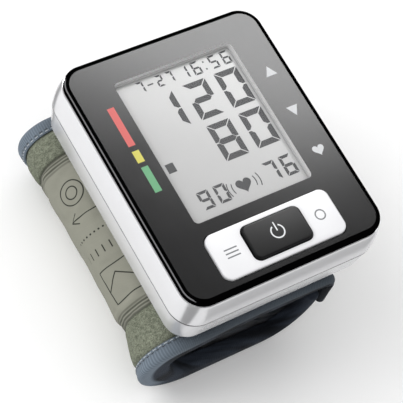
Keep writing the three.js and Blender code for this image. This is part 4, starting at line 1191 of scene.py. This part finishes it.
def cover_grid(wrap):
    """Insets, lengthwise places and faces of an outer cloth"""
    y, outer = cross_grid(wrap, CLOTH_HALF_LENGTH, 96, 14)
    return np.where(outer > 0.5, -crown(y), CLOTH_THICKNESS), y, outer


class CuffLook(bpy.types.PropertyGroup):
    nap_colour: colour_of("Nap colour", "Olive grey of the napped bands", 139, 144, 126)
    middle_colour: colour_of("Middle colour", "Warm grey of the smooth middle", 144, 144, 132)
    print_colour: colour_of("Print colour", "Ink of the plain line pattern", 30, 32, 28)
    tape_colour: colour_of("Tape colour", "Blue grey of the edge tape", 122, 134, 146)
    lining_colour: colour_of("Lining colour", "Dark navy of the lining", 31, 36, 44)
    thread_colour: colour_of("Thread colour", "Pale thread of the outer seam", 206, 212, 216)
    rib_pitch: length_of("Rib pitch", "Spacing of the tape's woven ribs", 0.62)
    stitch_pitch: length_of("Stitch pitch", "Spacing of the stitches", 1.9)
    stitch_length: length_of("Stitch length", "Visible length of a stitch", 1.35)
    thread_radius: length_of("Thread radius", "Half the thread's thickness", 0.12)
    puff_pressure: bpy.props.FloatProperty(
        name="Puff", description="Air pressure that swells the cloth", default=4.0, min=0
    )
    puff_cap: length_of("Puff cap", "How far the cloth may swell", 0.7)


# Along the outline, where the tape is full blue grey, between a painted shadow under the case and
# painted shade along the lower wrap: from the upper left bend to the lower
UPPER_SHADE_END_U, LOWER_SHADE_START_U = 66, 76

# The wrap's foot: the lap starts beyond this length along the outline
FOOT_U = 106


def follow_bend(piece):
    """Bakes the wrap's place into its mesh"""
    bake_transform(piece)


def split_lap(piece, name):
    """Cuts a refined wrap at its foot and gives its lap as a piece of its own"""

    def keep(work, is_lap):
        lay = work.verts.layers.float_vector["lay"]
        other = []
        for face in work.faces:
            beyond = sum(v[lay].x for v in face.verts) / len(face.verts) > FOOT_U
            if beyond != is_lap:
                other.append(face)
        bmesh.ops.delete(work, geom=other, context="FACES")
        bmesh.ops.holes_fill(work, edges=[e for e in work.edges if e.is_boundary], sides=0)

    lap = added(name, piece.data.copy())
    edited(piece, lambda work: keep(work, False))
    edited(lap, lambda work: keep(work, True))
    for part in (piece, lap):
        shade_by_angle(part, 50)
    return lap


def dress_wrap(piece, material, nodes):
    """Splits a refined wrap into its main part and its lap, and finishes both"""
    lap = split_lap(piece, f"lap_{piece.name}")
    for part in (piece, lap):
        finish_with(part, material, replaces=nodes)
    follow_bend(piece)
    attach(lap, "cuff_lower_wrap")


def place_array(piece):
    return np.array([v.co for v in piece.data.vertices], float)


def puff(piece, held, pressure, cap, frames=20):
    """Swells cloth by air pressure between the points that are held, and caps how far it moves"""
    rest = place_array(piece)
    group = piece.vertex_groups.new(name="sewn")
    for index, weight in enumerate(held):
        if weight > 0.01:
            group.add([index], float(weight), "REPLACE")
    modifier = piece.modifiers.new("puff", "CLOTH")
    cloth = modifier.settings
    cloth.vertex_group_mass = "sewn"
    cloth.use_pressure = True
    cloth.uniform_pressure_force = pressure
    cloth.effector_weights.gravity = 0
    cloth.quality = 4
    cloth.mass = 0.05
    cloth.shrink_min = -0.03
    modifier.collision_settings.use_collision = False
    modifier.point_cache.frame_start = 1
    modifier.point_cache.frame_end = frames
    for step in range(1, frames + 1):
        bpy.context.scene.frame_set(step)
    settle(piece)
    bpy.context.scene.frame_set(1)
    moved = place_array(piece) - rest
    reach = np.linalg.norm(moved, axis=1, keepdims=True)
    moved *= np.minimum(1, cap / np.maximum(reach, 1e-9))
    piece.data.vertices.foreach_set("co", (rest + moved).astype(np.float32).ravel())
    piece.vertex_groups.clear()
    piece.data.update()


def refine(piece):
    """Subdivides a soft piece once and rests it on the floor"""
    modifier = piece.modifiers.new("refine", "SUBSURF")
    modifier.levels = modifier.render_levels = 1
    settle(piece)
    piece.data.shade_smooth()
    for vertex in piece.data.vertices:
        vertex.co.z = max(vertex.co.z, 0)
    return piece


def cuff_cloth(look):
    """Napped bands at both ends of a smooth printed middle, with painted shade in the creases
    beside the bands
    """
    finish = Finish("cuff_cloth", look.nap_colour, specular_ior_level=0.15)
    mix = finish.mix
    u, y, _, lay = finish.lay()
    fine, coarse = finish.grain(lay, 0.3, 4, 0.75), finish.grain(lay, 1.0, 3, 0.6)
    cloud = finish.grain(lay, 9)
    past = (y - REAR_BAND_Y).at_least(-FRONT_BAND_Y - y)
    sway = past + finish.grain(lay, 6) * 0.5 - 0.25
    band = past.step(-0.2, 0.5)
    speckle = (fine * 0.8 + coarse * 0.4).step(0.42, 0.78)
    nap = finish.tones(look.nap_colour, 0.34, speckle)
    tips = (fine * 0.6 + cloud * 0.5).step(0.58, 0.85) * 0.7
    nap = mix(nap, shade(look.nap_colour, 1.45), tips)
    weave = u.wave(0.5) * y.wave(0.5)
    tone = weave * 0.2 + fine * 0.5 + 0.4
    middle = finish.tones(look.middle_colour, 0.84, tone)
    middle = mix(middle, shade(look.middle_colour, 0.86), cloud.step(0.4, 0.8) * 0.6)
    middle = mix(middle, look.print_colour, line_pattern(u, y) * 0.92)
    # Painted shade: dark lines in the creases beside the napped bands
    painted_crease_shade = (1 - past.size().step(0.1, 0.9)) * 0.75
    for place, depth in ((1.1, 0.75), (2.1, 0.8), (3.0, 0.45)):
        painted_crease_shade = painted_crease_shade.at_least((1 - (sway + place).size().step(0.08, 0.5)) * depth)
    colour = mix(mix(middle, nap, band), shade(look.nap_colour, 0.16), painted_crease_shade)
    height = (fine * 0.8 + coarse * 0.6) * band + (weave * 0.12 + fine * 0.2) * (1 - band)
    return finish.done(colour, band * 0.12 + fine * 0.1 + 0.72, height, 0.35, 0.9)


# Where the printed pattern starts along the outline, just above the left bend
PRINT_U = 56.5


def line_pattern(u, y):
    """Plain printed lines: a ring pair, an arrow, a framed roof, ticks and dots"""
    near, middle, far = PRINT_U, PRINT_U + 4.5, PRINT_U + 9

    def stroke(distance, width=0.32):
        return 1 - distance.size().step(width * 0.4, width * 0.75)

    def length(across, along):
        return (across * across + along * along).math("SQRT")

    def bar(u0, y0, u1, y1):
        """A straight line between two points"""
        across, along = u - u0, y - y0
        du, dy = u1 - u0, y1 - y0
        share = ((across * du + along * dy) / (du * du + dy * dy)).at_least(0).at_most(1)
        return stroke(length(across - share * du, along - share * dy))

    def repeat(pitch):
        return ((u / pitch).math("FRACT") - 0.5) * pitch

    ring = length(u - middle, y - 17)
    dots = 1 - length(repeat(1.3), y - 3).step(0.22, 0.36)
    ticks = stroke(repeat(2.2), 0.3) * (1 - (y + 2.6).size().step(1.1, 1.25))
    ink = (dots + ticks).at_most(1) * (1 - (u - middle).size().step(6.0, 6.1))
    for mark in (stroke(ring - 3.6), stroke(ring - 1.8)):
        ink = ink.at_least(mark)
    for ends in (
        (near, 9.5, far, 9.5),
        (far - 2.4, 11.2, far, 9.5),
        (far - 2.4, 7.8, far, 9.5),
        (near, -8, far, -8),
        (near, -18.5, far, -18.5),
        (near, -18.5, near, -8),
        (far, -18.5, far, -8),
        (near, -14.5, middle, -10.5),
        (middle, -10.5, far, -14.5),
    ):
        ink = ink.at_least(bar(*ends))
    return ink


# The cloth is pinched in by the front band at the left bend
PINCH_U, PINCH_Y, PINCH_DEPTH = 68, -28.5, 1.15

# How far the cuff's cloth and the strap's may stand proud
MOST_LIFT, STRAP_MOST_LIFT = 1.62, 1.6


class MONITOR_OT_cover(bpy.types.Operator):
    """Outer cloth of the cuff, puffed between its sewn edges by a cloth simulation"""

    bl_idname = "monitor.cover"
    bl_label = "Cuff cloth"

    def execute(self, context):
        look = context.scene.monitor_cuff
        wrap = main_wrap()
        inset, y, outer = cover_grid(wrap)
        is_outer, away = outer > 0.5, np.abs(y)
        u = wrap.u[:, None]
        under_case = ((wrap.z > CUFF_CROWN_Z - 3.2) & (wrap.x > -22))[:, None] * np.ones_like(y)
        near_band = np.exp(-((band_reach(y) / 3.4) ** 2))
        free = is_outer * (1 - under_case) * (1 - smooth(BOUND_Y - 2.4, BOUND_Y, away))
        folds = 0.22 * wrinkle(u, y, 11, 7, 3.7)
        folds = folds + 0.35 * near_band * wrinkle(u, y, 4.5, 2.4, 9.1)
        pinch = bump_at(PINCH_Y, 9, y) * bump_at(PINCH_U, 16, u) * PINCH_DEPTH
        lifted = np.maximum(inset + free * folds, -MOST_LIFT) + pinch
        inset = np.where(is_outer, lifted, inset)
        cover = swept("cuff_cover", wrap, inset, y, outer)
        held = np.maximum.reduce([
            ~is_outer,
            under_case,
            smooth(BOUND_Y - 1.6, BOUND_Y - 0.2, away),
            bump_at(0, 0.9, band_reach(y)) * 0.97,
            (wrap.z < TAPE_SPAN + 1.2)[:, None] * np.ones_like(y),
        ])
        held[:2] = held[-2:] = 1
        puff(cover, held.ravel(), look.puff_pressure, look.puff_cap)
        refine(cover)
        nodes = ["cuff_outer_upper", "cuff_outer_lower"]
        dress_wrap(cover, cuff_cloth(look), nodes)
        return {"FINISHED"}


def fold_shade_streaks(finish, u, y):
    """Soft folds that run along the dark cloth, from 0 to 1: a mask for painted shade and painted
    highlight on the folds, and for their bumps
    """
    run = finish.node("ShaderNodeCombineXYZ", [u * 0.09, y + u * 0.24, 0])
    return finish.grain(run, 2.4, 2, 0.4).step(0.34, 0.68)


def lining_cloth(look):
    """Dark woven nylon with a soft sheen, with painted shade and painted highlight along its folds
    """
    colour = look.lining_colour
    finish = Finish("lining_cloth", colour, specular_ior_level=0.35)
    mix = finish.mix
    u, y, _, lay = finish.lay()
    fine, cloud = finish.grain(lay, 0.3, 3), finish.grain(lay, 8)
    weave, streaks = u.wave(0.4) * y.wave(0.4), fold_shade_streaks(finish, u, y)
    tone = weave * 0.2 + fine * 0.4 + cloud * 0.3
    cloth = finish.tones(colour, 0.6, tone, 1.3)
    # Painted shade between the folds
    cloth = mix(shade(colour, 0.4), cloth, streaks.step(0, 0.5))
    # Painted highlight on the tops of the folds
    cloth = mix(cloth, shade(colour, 2.2), streaks.step(0.6, 1) * 0.6)
    height = weave * 0.3 + fine * 0.4 + streaks * 5
    return finish.done(cloth, fine * 0.15 + 0.36, height, 0.08, 0.6)


class MONITOR_OT_lining(bpy.types.Operator):
    """Inner lining of the cuff with long soft wrinkles"""

    bl_idname = "monitor.lining"
    bl_label = "Cuff lining"

    def execute(self, context):
        wrap = main_wrap()
        y, outer = cross_grid(wrap, -CLOTH_HALF_LENGTH, 60, 14)
        u, wall = wrap.u[:, None], wrap.wall[:, None]
        slant = u + y * 0.35
        folds = wrinkle(slant, y, 3.2, 22, 5.3) + 0.6 * wrinkle(slant, y, 1.7, 12, 8.8)
        foot = smooth(96, 112, u)
        drag = wrinkle(u, y - u * 0.22, 22, 3.4, 4.1)
        folds = folds * (1 - foot * 0.6) + foot * (drag * 1.5 + 0.25)
        middle = 1 - smooth(BOUND_Y - 3, BOUND_Y, np.abs(y))
        lifted = np.maximum(wall + middle * (0.5 + 1.3 * folds), wall - 0.45)
        inset = np.where(outer > 0.5, lifted, wall - CLOTH_THICKNESS)
        lining = refine(swept("cuff_lining", wrap, inset, y, outer))
        cloth = lining_cloth(context.scene.monitor_cuff)
        dress_wrap(lining, cloth, ["cuff_liner_upper", "cuff_liner_lower"])
        return {"FINISHED"}


def tape_cloth(look):
    """Ribbed woven tape, ribbed across, with painted shade where it turns in and along the lower
    wrap, and a painted shadow on its run under the case
    """
    tape, lining = look.tape_colour, look.lining_colour
    finish = Finish("edge_tape", tape, specular_ior_level=0.12)
    mix = finish.mix
    u, y, outer, lay = finish.lay()
    fine, cloud = finish.grain(lay, 0.25, 3), finish.grain(lay, 6)
    ribs = u.wave(look.rib_pitch / MM) * 0.5 + 0.5
    # Painted shade: a dark lining tone with painted fold streaks, for the tape's shaded parts
    dark = finish.tones(lining, 0.35, fold_shade_streaks(finish, u, y), 1.7)
    cloth = finish.tones(tape, 0.5, ribs * 0.6 + fine * 0.4)
    cloth = mix(cloth, shade(tape, 1.3), cloud.step(0.5, 0.9) * 0.4)
    # Painted shadow: the tape's run under the case is darkened
    cloth = mix(shade(tape, 0.26), cloth, u.step(UPPER_SHADE_END_U - 20, UPPER_SHADE_END_U))
    # Painted shade: the turned-in half of the tape and the lower wrap take the dark tone
    inside = 1 - outer.step(0.52, 0.72)
    cloth = mix(cloth, dark, inside.at_least(u.step(LOWER_SHADE_START_U, LOWER_SHADE_START_U + 9) * 0.95))
    return finish.done(cloth, fine * 0.15 + 0.62, ribs * 0.7 + fine * 0.4, 0.14, 0.8)


def tape_section(wrap, side):
    """Insets and lengthwise places of tape folded round an edge, as stations by columns"""
    front, back = -TAPE_SPAN, wrap.wall + TAPE_SPAN
    end, inside = CUFF_HALF_LENGTH, CUFF_HALF_LENGTH - TAPE_WALL
    rounding = np.minimum(2.1, (back - front) / 2 - 0.05)
    hollow = np.maximum(rounding - TAPE_WALL, 0.3)
    lip, straight = 0.35, BOUND_Y + 1.3
    turn, small, tight = quarter(8), quarter(3), quarter(4)
    ring = [(-FIT_GAP, BOUND_Y)]
    ring += [(front + lip * s, BOUND_Y + lip * c) for c, s in small]
    ring += [(front, straight)]
    ring += [(front + rounding * c, end - rounding * s) for c, s in turn]
    ring += [(back - rounding * s, end - rounding * c) for c, s in turn]
    ring += [(back, straight)]
    ring += [(back - lip * c, BOUND_Y + lip * s) for c, s in small]
    ring += [(wrap.wall + FIT_GAP, BOUND_Y)]
    ring += [(wrap.wall + FIT_GAP - hollow * c, inside - hollow * s) for c, s in tight]
    ring += [(-FIT_GAP + hollow * s, inside - hollow * c) for c, s in tight]
    columns = [[np.broadcast_to(part, wrap.wall.shape) for part in point] for point in ring]
    inset, y = (np.stack(parts, 1) for parts in zip(*columns))
    return inset, y * side


def tape_piece(name, wrap, side):
    inset, y = tape_section(wrap, side)
    ripple = wrinkle(wrap.u[:, None], y, 7, 5, 2.2 + side)
    inset = np.where(inset < 0, inset + 0.05 * ripple, inset)
    depth = (inset + TAPE_SPAN) / (wrap.wall[:, None] + TAPE_SPAN * 2)
    return refine(swept(name, wrap, inset, y, 1 - depth))


FLOOR_REST = 0.2
SEAM_NAMES = ("outer_stitches", "inner_stitches")
SEAM_ROWS = (BOUND_Y + 0.55, BOUND_Y + 1.1)


def thread(name, colour):
    finish = Finish(name, colour, sheen_weight=0.3)
    twist = finish.grain(finish.place(), 0.12)
    return finish.done(finish.tones(colour, 0.6, twist), twist * 0.2 + 0.5)


def sewn_row(name, wrap, row, look, material, kept=slice(None)):
    """Stitches along a row of both tapes, on the kept stations of a wrap"""
    rows = np.ones((len(wrap.u), 2)) * (row, -row)
    places = wrap.points(np.full(rows.shape, -TAPE_SPAN - 0.02), rows)
    places[:, :, 2] = np.maximum(places[:, :, 2], FLOOR_REST)
    lines = [places[kept, side] for side in (0, 1)]
    values = {"Length": look.stitch_length, "Radius": look.thread_radius}
    tree = capsule_tree(name, material)
    return repeated(name, lines, tree, material, Pitch=look.stitch_pitch, **values)


class MONITOR_OT_bindings(bpy.types.Operator):
    """Ribbed tape round both edges of the cuff, with two rows of stitches"""

    bl_idname = "monitor.bindings"
    bl_label = "Edge tapes and stitches"

    def execute(self, context):
        look = context.scene.monitor_cuff
        wrap, tape = main_wrap(1.3), tape_cloth(look)
        for side, end in ((-1, "front"), (1, "rear")):
            nodes = [f"{end}_binding_upper", f"{end}_binding_lower"]
            dress_wrap(tape_piece(f"{end}_tape", wrap, side), tape, nodes)
        pale = thread("pale_thread", look.thread_colour)
        dark = thread("dark_thread", shade(look.lining_colour, 0.8))
        fine = main_wrap(0.6)
        for name, row, material in zip(SEAM_NAMES, SEAM_ROWS, (pale, dark)):
            stitches = sewn_row(name, fine, row, look, material, fine.u <= FOOT_U)
            follow_bend(stitches)
            lap = sewn_row(f"lap_{name}", fine, row, look, material, fine.u >= FOOT_U)
            finish_with(lap, None, "cuff_lower_wrap")
        return {"FINISHED"}


def hook_tape():
    """Black hook tape: fine rows of stiff loops"""
    finish = Finish("hook_tape", srgb(40, 42, 44))
    _, y, z = finish.parts(finish.place())
    hooks = y.wave(0.9) * z.wave(1.1)
    skin = finish.mix(srgb(20, 21, 23), srgb(70, 72, 74), hooks.step(0.2, 0.9))
    return finish.done(skin, hooks * 0.1 + 0.5, hooks, 0.3, 0.8)


def material_of(name):
    """What a piece that is already there wears"""
    return bpy.data.objects[name].data.materials[0]


class MONITOR_OT_strap(bpy.types.Operator):
    """Closing strap: bound cloth outside and hook tape inside"""

    bl_idname = "monitor.strap"
    bl_label = "Strap"

    def execute(self, context):
        look = context.scene.monitor_cuff
        wrap = strap_wrap(0.8)
        inset, y, outer = cover_grid(wrap)
        ripple = wrinkle(wrap.u[:, None], y, 6, 9, 6.1) * (np.abs(y) < BOUND_Y - 1)
        lifted = np.maximum(inset + 0.12 * ripple, -STRAP_MOST_LIFT)
        inset = np.where(outer > 0.5, lifted, inset)
        cover = refine(swept("strap_cloth", wrap, inset, y, outer))
        finish_with(cover, material_of("cuff_cover"), "strap", ["strap_tab"])
        for side, end in ((-1, "front"), (1, "rear")):
            piece = tape_piece(f"strap_{end}_tape", wrap, side)
            tape = material_of(f"{end}_tape")
            finish_with(piece, tape, "strap", [f"strap_binding_{end}"])
        for name, row in zip(SEAM_NAMES, SEAM_ROWS):
            stitches = sewn_row(f"strap_{name}", wrap, row, look, material_of(name))
            finish_with(stitches, None, "strap")
        y, outer = cross_grid(wrap, FIT_GAP - BOUND_Y, 60, 60)
        lift = np.where(outer > 0.5, TAPE_SPAN - 0.1, FIT_GAP)
        patch = swept("hook_strip", wrap, CLOTH_THICKNESS + lift, y, outer)
        finish_with(patch, hook_tape(), "strap", ["hook_patch"])
        return {"FINISHED"}


# Inner parts


def circuit_board():
    """Green board with darker copper tracks under its mask"""
    finish = Finish("circuit_board", srgb(30, 104, 62))
    place = finish.place()
    inputs = {"Vector": place, "Scale": 0.3}
    tracks = finish.node("ShaderNodeTexVoronoi", inputs, distance="CHEBYCHEV")
    mask = tracks.step(0.1, 0.6)
    skin = finish.mix(srgb(22, 82, 50), srgb(42, 122, 72), mask)
    return finish.done(skin, finish.grain(place, 0.3) * 0.15 + 0.35, mask, 0.03, 0.5)


def cell_jacket():
    """Two-tone battery jacket: copper at the plus end and black beyond a plain line"""
    finish = Finish("cell_jacket", srgb(168, 104, 52))
    place = finish.place()
    y = finish.parts(place)[1]
    ends = y.size().step(20.6, 20.7)
    skin = finish.mix(srgb(40, 41, 44), srgb(176, 112, 58), (y + 8).step(0, 0.1))
    finish.set("Metallic", ends * 0.5 + 0.4)
    roughness = finish.grain(place, 2) * 0.15 + 0.25
    return finish.done(finish.mix(skin, srgb(190, 190, 192), ends), roughness)


def bladder_film():
    finish = Finish("bladder_film", srgb(110, 126, 154))
    creases = finish.grain(finish.place(), 2.2, 4)
    skin = finish.mix(srgb(90, 106, 136), srgb(132, 148, 174), creases)
    return finish.done(skin, creases * 0.2 + 0.3, creases, 0.3, 0.6)


def display_cell(colour):
    """Pale ground of the display with a faint haze"""
    finish = Finish("display_cell", colour, specular_ior_level=0.15)
    place = finish.place()
    haze = finish.grain(place, 12)
    tone = haze * 0.8 + finish.grain(place, 0.2) * 0.2
    return finish.done(finish.tones(colour, 0.94, tone), haze * 0.03 + 0.17)


class MONITOR_OT_inner_parts(bpy.types.Operator):
    """Finishes of the electronics, air system, cells and fastenings"""

    bl_idname = "monitor.inner_parts"
    bl_label = "Inner parts"

    def execute(self, context):
        look = context.scene.monitor_display
        border = moulded("display_border", srgb(174, 174, 174), 0.4, specular_ior_level=0.2)
        finishes = [
            (brushed_metal("steel", srgb(186, 188, 192), 0.3),
             "case_screw_1 case_screw_2 case_screw_3 case_screw_4 "
             "power_switch left_key_switch right_key_switch"),
            (brushed_metal("contact_metal", srgb(206, 204, 196), 0.25),
             "battery_contact_rear battery_contact_plus battery_contact_minus"),
            (brushed_metal("motor_steel", srgb(170, 172, 176), 0.35), "pump_motor exhaust_valve"),
            (moulded("black_resin", srgb(20, 20, 22), 0.25), "controller_chip"),
            (moulded("black_plastic", srgb(34, 35, 37), 0.4), "buzzer pressure_sensor"),
            (border, "lcd_frame"),
            (moulded("air_plastic", srgb(214, 214, 208), 0.4), "pump_head air_manifold"),
            (moulded("cuff_plate_plastic", srgb(226, 226, 226), 0.35), "cuff_plate"),
            (moulded("curler_plastic", srgb(222, 222, 218), 0.4),
             "cuff_curler_upper cuff_curler_lower"),
            (display_cell(look.cell_colour), "lcd_cell"),
            (rubber("silicone", srgb(206, 204, 196), 0.45), "pump_tube valve_tube cuff_nipple"),
            (rubber("connector_rubber", srgb(70, 68, 74), 0.6),
             "lcd_connector_top lcd_connector_bottom"),
            (cell_jacket(), "battery_inner battery_outer"),
            (bladder_film(), "air_bladder_upper air_bladder_lower"),
            (circuit_board(), "main_board"),
        ]
        for material, nodes in finishes:
            for node in nodes.split():
                wear(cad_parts[node], material)
        return {"FINISHED"}


# Stage


class StageLook(bpy.types.PropertyGroup):
    floor_colour: bpy.props.FloatVectorProperty(
        name="Floor colour", description="Pale floor", subtype="COLOR", size=3, default=(0.99,) * 3
    )
    fill: bpy.props.FloatProperty(
        name="Fill", description="Light from all round", default=0.77, min=0
    )
    key_power: power_of("Key light", "Soft light from the rear left", 8.2)
    side_power: power_of("Side light", "Low light on the front", 0.25)
    panel_power: power_of("Panel light", "Soft box mirrored in the panel", 12.2)
    lens: bpy.props.FloatProperty(
        name="Lens", description="Focal length", default=150.8, unit="CAMERA"
    )


# Places on the stage are in metres
CAMERA_PLACE = (-0.2077, -0.1561, 0.4598)
CAMERA_TURN_DEG = (28.239, -13.374, -30.027)
SENSOR_WIDTH = 36
FLOOR_REACH = 2500

# Each light: place, aim and size
LIGHTS = {
    "key": ((-0.7, 0.5, 0.95), (0, 0, 0.03), 0.85),
    "side": ((0.5, -0.85, 0.22), (0, 0, 0.03), 0.4),
    "panel": ((0.415, 0.44, 0.64), (0, 0, FACE_Z * MM), 0.36),
}

# In millimetres, each black card round a left corner of the case: the corner's end, the first and
# last angle in degrees, reach and height. The grey card before the front is given by its sides.
FLAGS = {"flag_front": (-1, 208, 252, 170, 130), "flag_rear": (1, 86, 122, 170, 60)}
FLAG_STEPS, FLAG_START = 8, 12
FLAG_FLOOR = (-14, 110, -HALF_LENGTH - 24, -HALF_LENGTH - 95)


class MONITOR_OT_stage(bpy.types.Operator):
    """Floor, soft light, pale surroundings and the camera"""

    bl_idname = "monitor.stage"
    bl_label = "Stage"

    def execute(self, context):
        look = context.scene.monitor_stage
        corners = oblong(-FLOOR_REACH, FLOOR_REACH, -FLOOR_REACH, FLOOR_REACH)
        floor = new_piece("floor", [(x, y, 0) for x, y in corners], [(0, 1, 2, 3)])
        finish = Finish("floor_paper", look.floor_colour)
        finish.set("Roughness", finish.grain(finish.place(), 3) * 0.1 + 0.85)
        wear(floor, finish.material)
        floor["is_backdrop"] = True
        self.flags()
        self.surroundings(context.scene, look.fill)
        for name, (place, aim, size) in LIGHTS.items():
            data = bpy.data.lights.new(f"{name}_light", "AREA")
            data.shape = "SQUARE"
            data.size = size
            data.energy = getattr(look, f"{name}_power")
            light = added(data.name, data)
            light.location = place
            away = Vector(place) - Vector(aim)
            light.rotation_euler = away.to_track_quat("Z", "Y").to_euler()
            light.visible_diffuse = name != "panel"
        data = bpy.data.cameras.new("camera")
        data.sensor_width, data.lens = SENSOR_WIDTH, look.lens
        camera = added("camera", data)
        camera.location = CAMERA_PLACE
        camera.rotation_euler = Euler([math.radians(a) for a in CAMERA_TURN_DEG], "XYZ")
        context.scene.camera = camera
        context.scene.view_settings.view_transform = "Standard"
        return {"FINISHED"}

    def flags(self):
        """Cards that show only in reflections: black ones that shade the case's left corners,
        and a grey one before its front"""
        for name, (end, start, stop, far, height) in FLAGS.items():
            points, faces = [], []
            for k in range(FLAG_STEPS + 1):
                turn = math.radians(blended(start, stop, k / FLAG_STEPS))
                for reach, z in ((FLAG_START, 1), (far, 1), (far, height)):
                    x, y = reach * math.cos(turn), reach * math.sin(turn)
                    points.append((x - HALF_WIDTH, y + end * HALF_LENGTH, z))
            for a in range(0, FLAG_STEPS * 3, 3):
                faces += [(a, a + 1, a + 4, a + 3), (a + 1, a + 2, a + 5, a + 4)]
            self.card(name, points, faces, 0.01)
        self.card("flag_floor", [(x, y, 1) for x, y in oblong(*FLAG_FLOOR)], [(0, 1, 2, 3)], 0.4)

    def card(self, name, points, faces, tone):
        card = new_piece(name, points, faces)
        wear(card, Finish(name, [tone] * 3, specular_ior_level=0.0).material)
        card.visible_camera = card.visible_diffuse = card.visible_shadow = False
        card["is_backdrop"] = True

    def surroundings(self, scene, fill):
        """White for the camera and in reflections, and a softer fill on the object"""
        world = bpy.data.worlds.new("surroundings")
        scene.world = world
        world.use_nodes = True
        tree = world.node_tree
        background = tree.nodes["Background"].inputs
        rays = add_node(tree, "ShaderNodeLightPath")
        most = rays["Is Camera Ray"]
        for name in ("Is Glossy Ray", "Is Transmission Ray"):
            most = add_node(tree, "ShaderNodeMath", [most, rays[name]], operation="MAXIMUM")[0]
        inputs = {"Value": most, "To Min": fill, "To Max": 1}
        feed(tree, background["Strength"], add_node(tree, "ShaderNodeMapRange", inputs)[0])
        feed(tree, background["Color"], (1, 1, 1, 1))


class MONITOR_PT_sidebar(bpy.types.Panel):
    """Shows the monitor's sizes and colours, and a button for each step"""

    bl_idname = "MONITOR_PT_sidebar"
    bl_label = "Wrist monitor"
    bl_space_type = "VIEW_3D"
    bl_region_type = "UI"
    bl_category = "Monitor"

    def draw(self, context):
        layout = self.layout
        for name in LOOKS:
            look = getattr(context.scene, name)
            column = layout.column(align=True)
            for prop in look.bl_rna.properties:
                if prop.identifier not in ("rna_type", "name"):
                    column.prop(look, prop.identifier)
        for operator in STEPS:
            layout.operator(operator.bl_idname)


LOOKS = {
    "monitor_shell": ShellLook,
    "monitor_panel": PanelLook,
    "monitor_display": DisplayLook,
    "monitor_cuff": CuffLook,
    "monitor_stage": StageLook,
}
STEPS = (
    MONITOR_OT_shell,
    MONITOR_OT_panel,
    MONITOR_OT_keys,
    MONITOR_OT_display,
    MONITOR_OT_cover,
    MONITOR_OT_lining,
    MONITOR_OT_bindings,
    MONITOR_OT_strap,
    MONITOR_OT_inner_parts,
    MONITOR_OT_stage,
)


def register():
    for name, look in LOOKS.items():
        bpy.utils.register_class(look)
        setattr(bpy.types.Scene, name, bpy.props.PointerProperty(type=look))
    for step in STEPS:
        bpy.utils.register_class(step)
    bpy.utils.register_class(MONITOR_PT_sidebar)


def unregister():
    bpy.utils.unregister_class(MONITOR_PT_sidebar)
    for step in reversed(STEPS):
        bpy.utils.unregister_class(step)
    for name, look in LOOKS.items():
        delattr(bpy.types.Scene, name)
        bpy.utils.unregister_class(look)


def main():
    register()
    for step in STEPS:
        area, call = step.bl_idname.split(".")
        getattr(getattr(bpy.ops, area), call)()
    sizes = [[list(corner) for corner in box] for box in (cad_box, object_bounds())]
    "\n".join(json.dumps(box) for box in sizes) + "\n"


if __name__ == "__main__":
    main()
